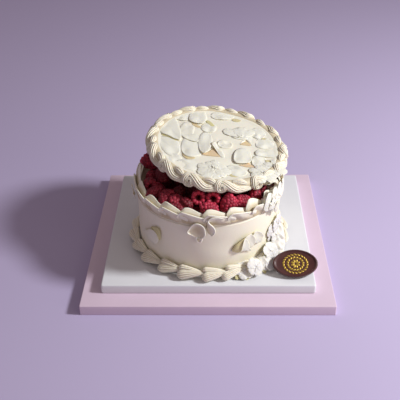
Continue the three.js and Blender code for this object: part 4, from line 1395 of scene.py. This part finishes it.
# The key light, and a weak warm light beside the camera: width and distance in metres, turn and rise in
# degrees.
lightsMade = {
    "key": {"watts": 26.0, "width": 0.26, "far": 1.6, "turn": -12.0, "rise": 37.0,
            "colour": (0.97, 0.98, 1.0)},
    "front": {"watts": 5.2, "width": 1.2, "far": 2.0, "turn": -42.0, "rise": 14.0,
              "colour": (1.0, 0.92, 0.80)},
}

floorMaterial, _, _, floorShader = newMaterial("pale floor")
floorShader.inputs["Base Color"].default_value = rgba(stageMade["floor"])
floorShader.inputs["Roughness"].default_value = stageMade["roughness"]
floorMesh = bpy.data.meshes.new("floor")
floorMesh.from_pydata(stageMade["corners"], [], [(0, 1, 2, 3)])
floorMesh.materials.append(floorMaterial)
floor = inScene("floor", floorMesh)

for name, made in lightsMade.items():
    lightData = bpy.data.lights.new(name, "AREA")
    lightData.shape = "DISK"
    lightData.size = made["width"]
    lightData.energy = made["watts"]
    lightData.color = made["colour"]
    light = inScene(name, lightData)
    around, rise = math.radians(made["turn"]), math.radians(made["rise"])
    toLight = Vector((math.cos(rise) * math.cos(around), math.cos(rise) * math.sin(around), math.sin(rise)))
    light.matrix_world = (Matrix.Translation(Vector(stageMade["lightsAim"]) + toLight * made["far"])
                          @ toLight.to_track_quat("Z", "Y").to_matrix().to_4x4())

world = bpy.data.worlds.new("studio")
world.use_nodes = True
world.node_tree.nodes["Background"].inputs["Color"].default_value = rgba(stageMade["fillColour"])
world.node_tree.nodes["Background"].inputs["Strength"].default_value = stageMade["fill"]
bpy.context.scene.world = world
bpy.context.scene.view_settings.view_transform = "Standard"

# The photograph's viewpoint: focal length in pixels of a 400-pixel frame, place in metres, and the
# downward pitch, the turn to the left and the roll in degrees.
cameraMade = {"focal": 706.5, "frame": 400.0, "place": (0.011216, -0.772788, 0.561604),
              "pitch": 32.767, "yaw": -1.615, "roll": -1.032}
cameraData = bpy.data.cameras.new("camera")
cameraData.sensor_width = 36.0
cameraData.lens = cameraMade["focal"] * cameraData.sensor_width / cameraMade["frame"]
camera = inScene("camera", cameraData)
pitch, yaw, roll = (math.radians(cameraMade[name]) for name in ("pitch", "yaw", "roll"))
ahead = Vector((math.sin(yaw) * math.cos(pitch), math.cos(yaw) * math.cos(pitch), -math.sin(pitch)))
right = ahead.cross(Vector((0, 0, 1))).normalized()
above = right.cross(ahead)
rolledRight = right * math.cos(roll) + above * math.sin(roll)
rolledAbove = above * math.cos(roll) - right * math.sin(roll)
camera.matrix_world = Matrix.Translation(cameraMade["place"]) @ Matrix(
    (rolledRight, rolledAbove, -ahead)).transposed().to_4x4()
bpy.context.scene.camera = camera
print("stage made")
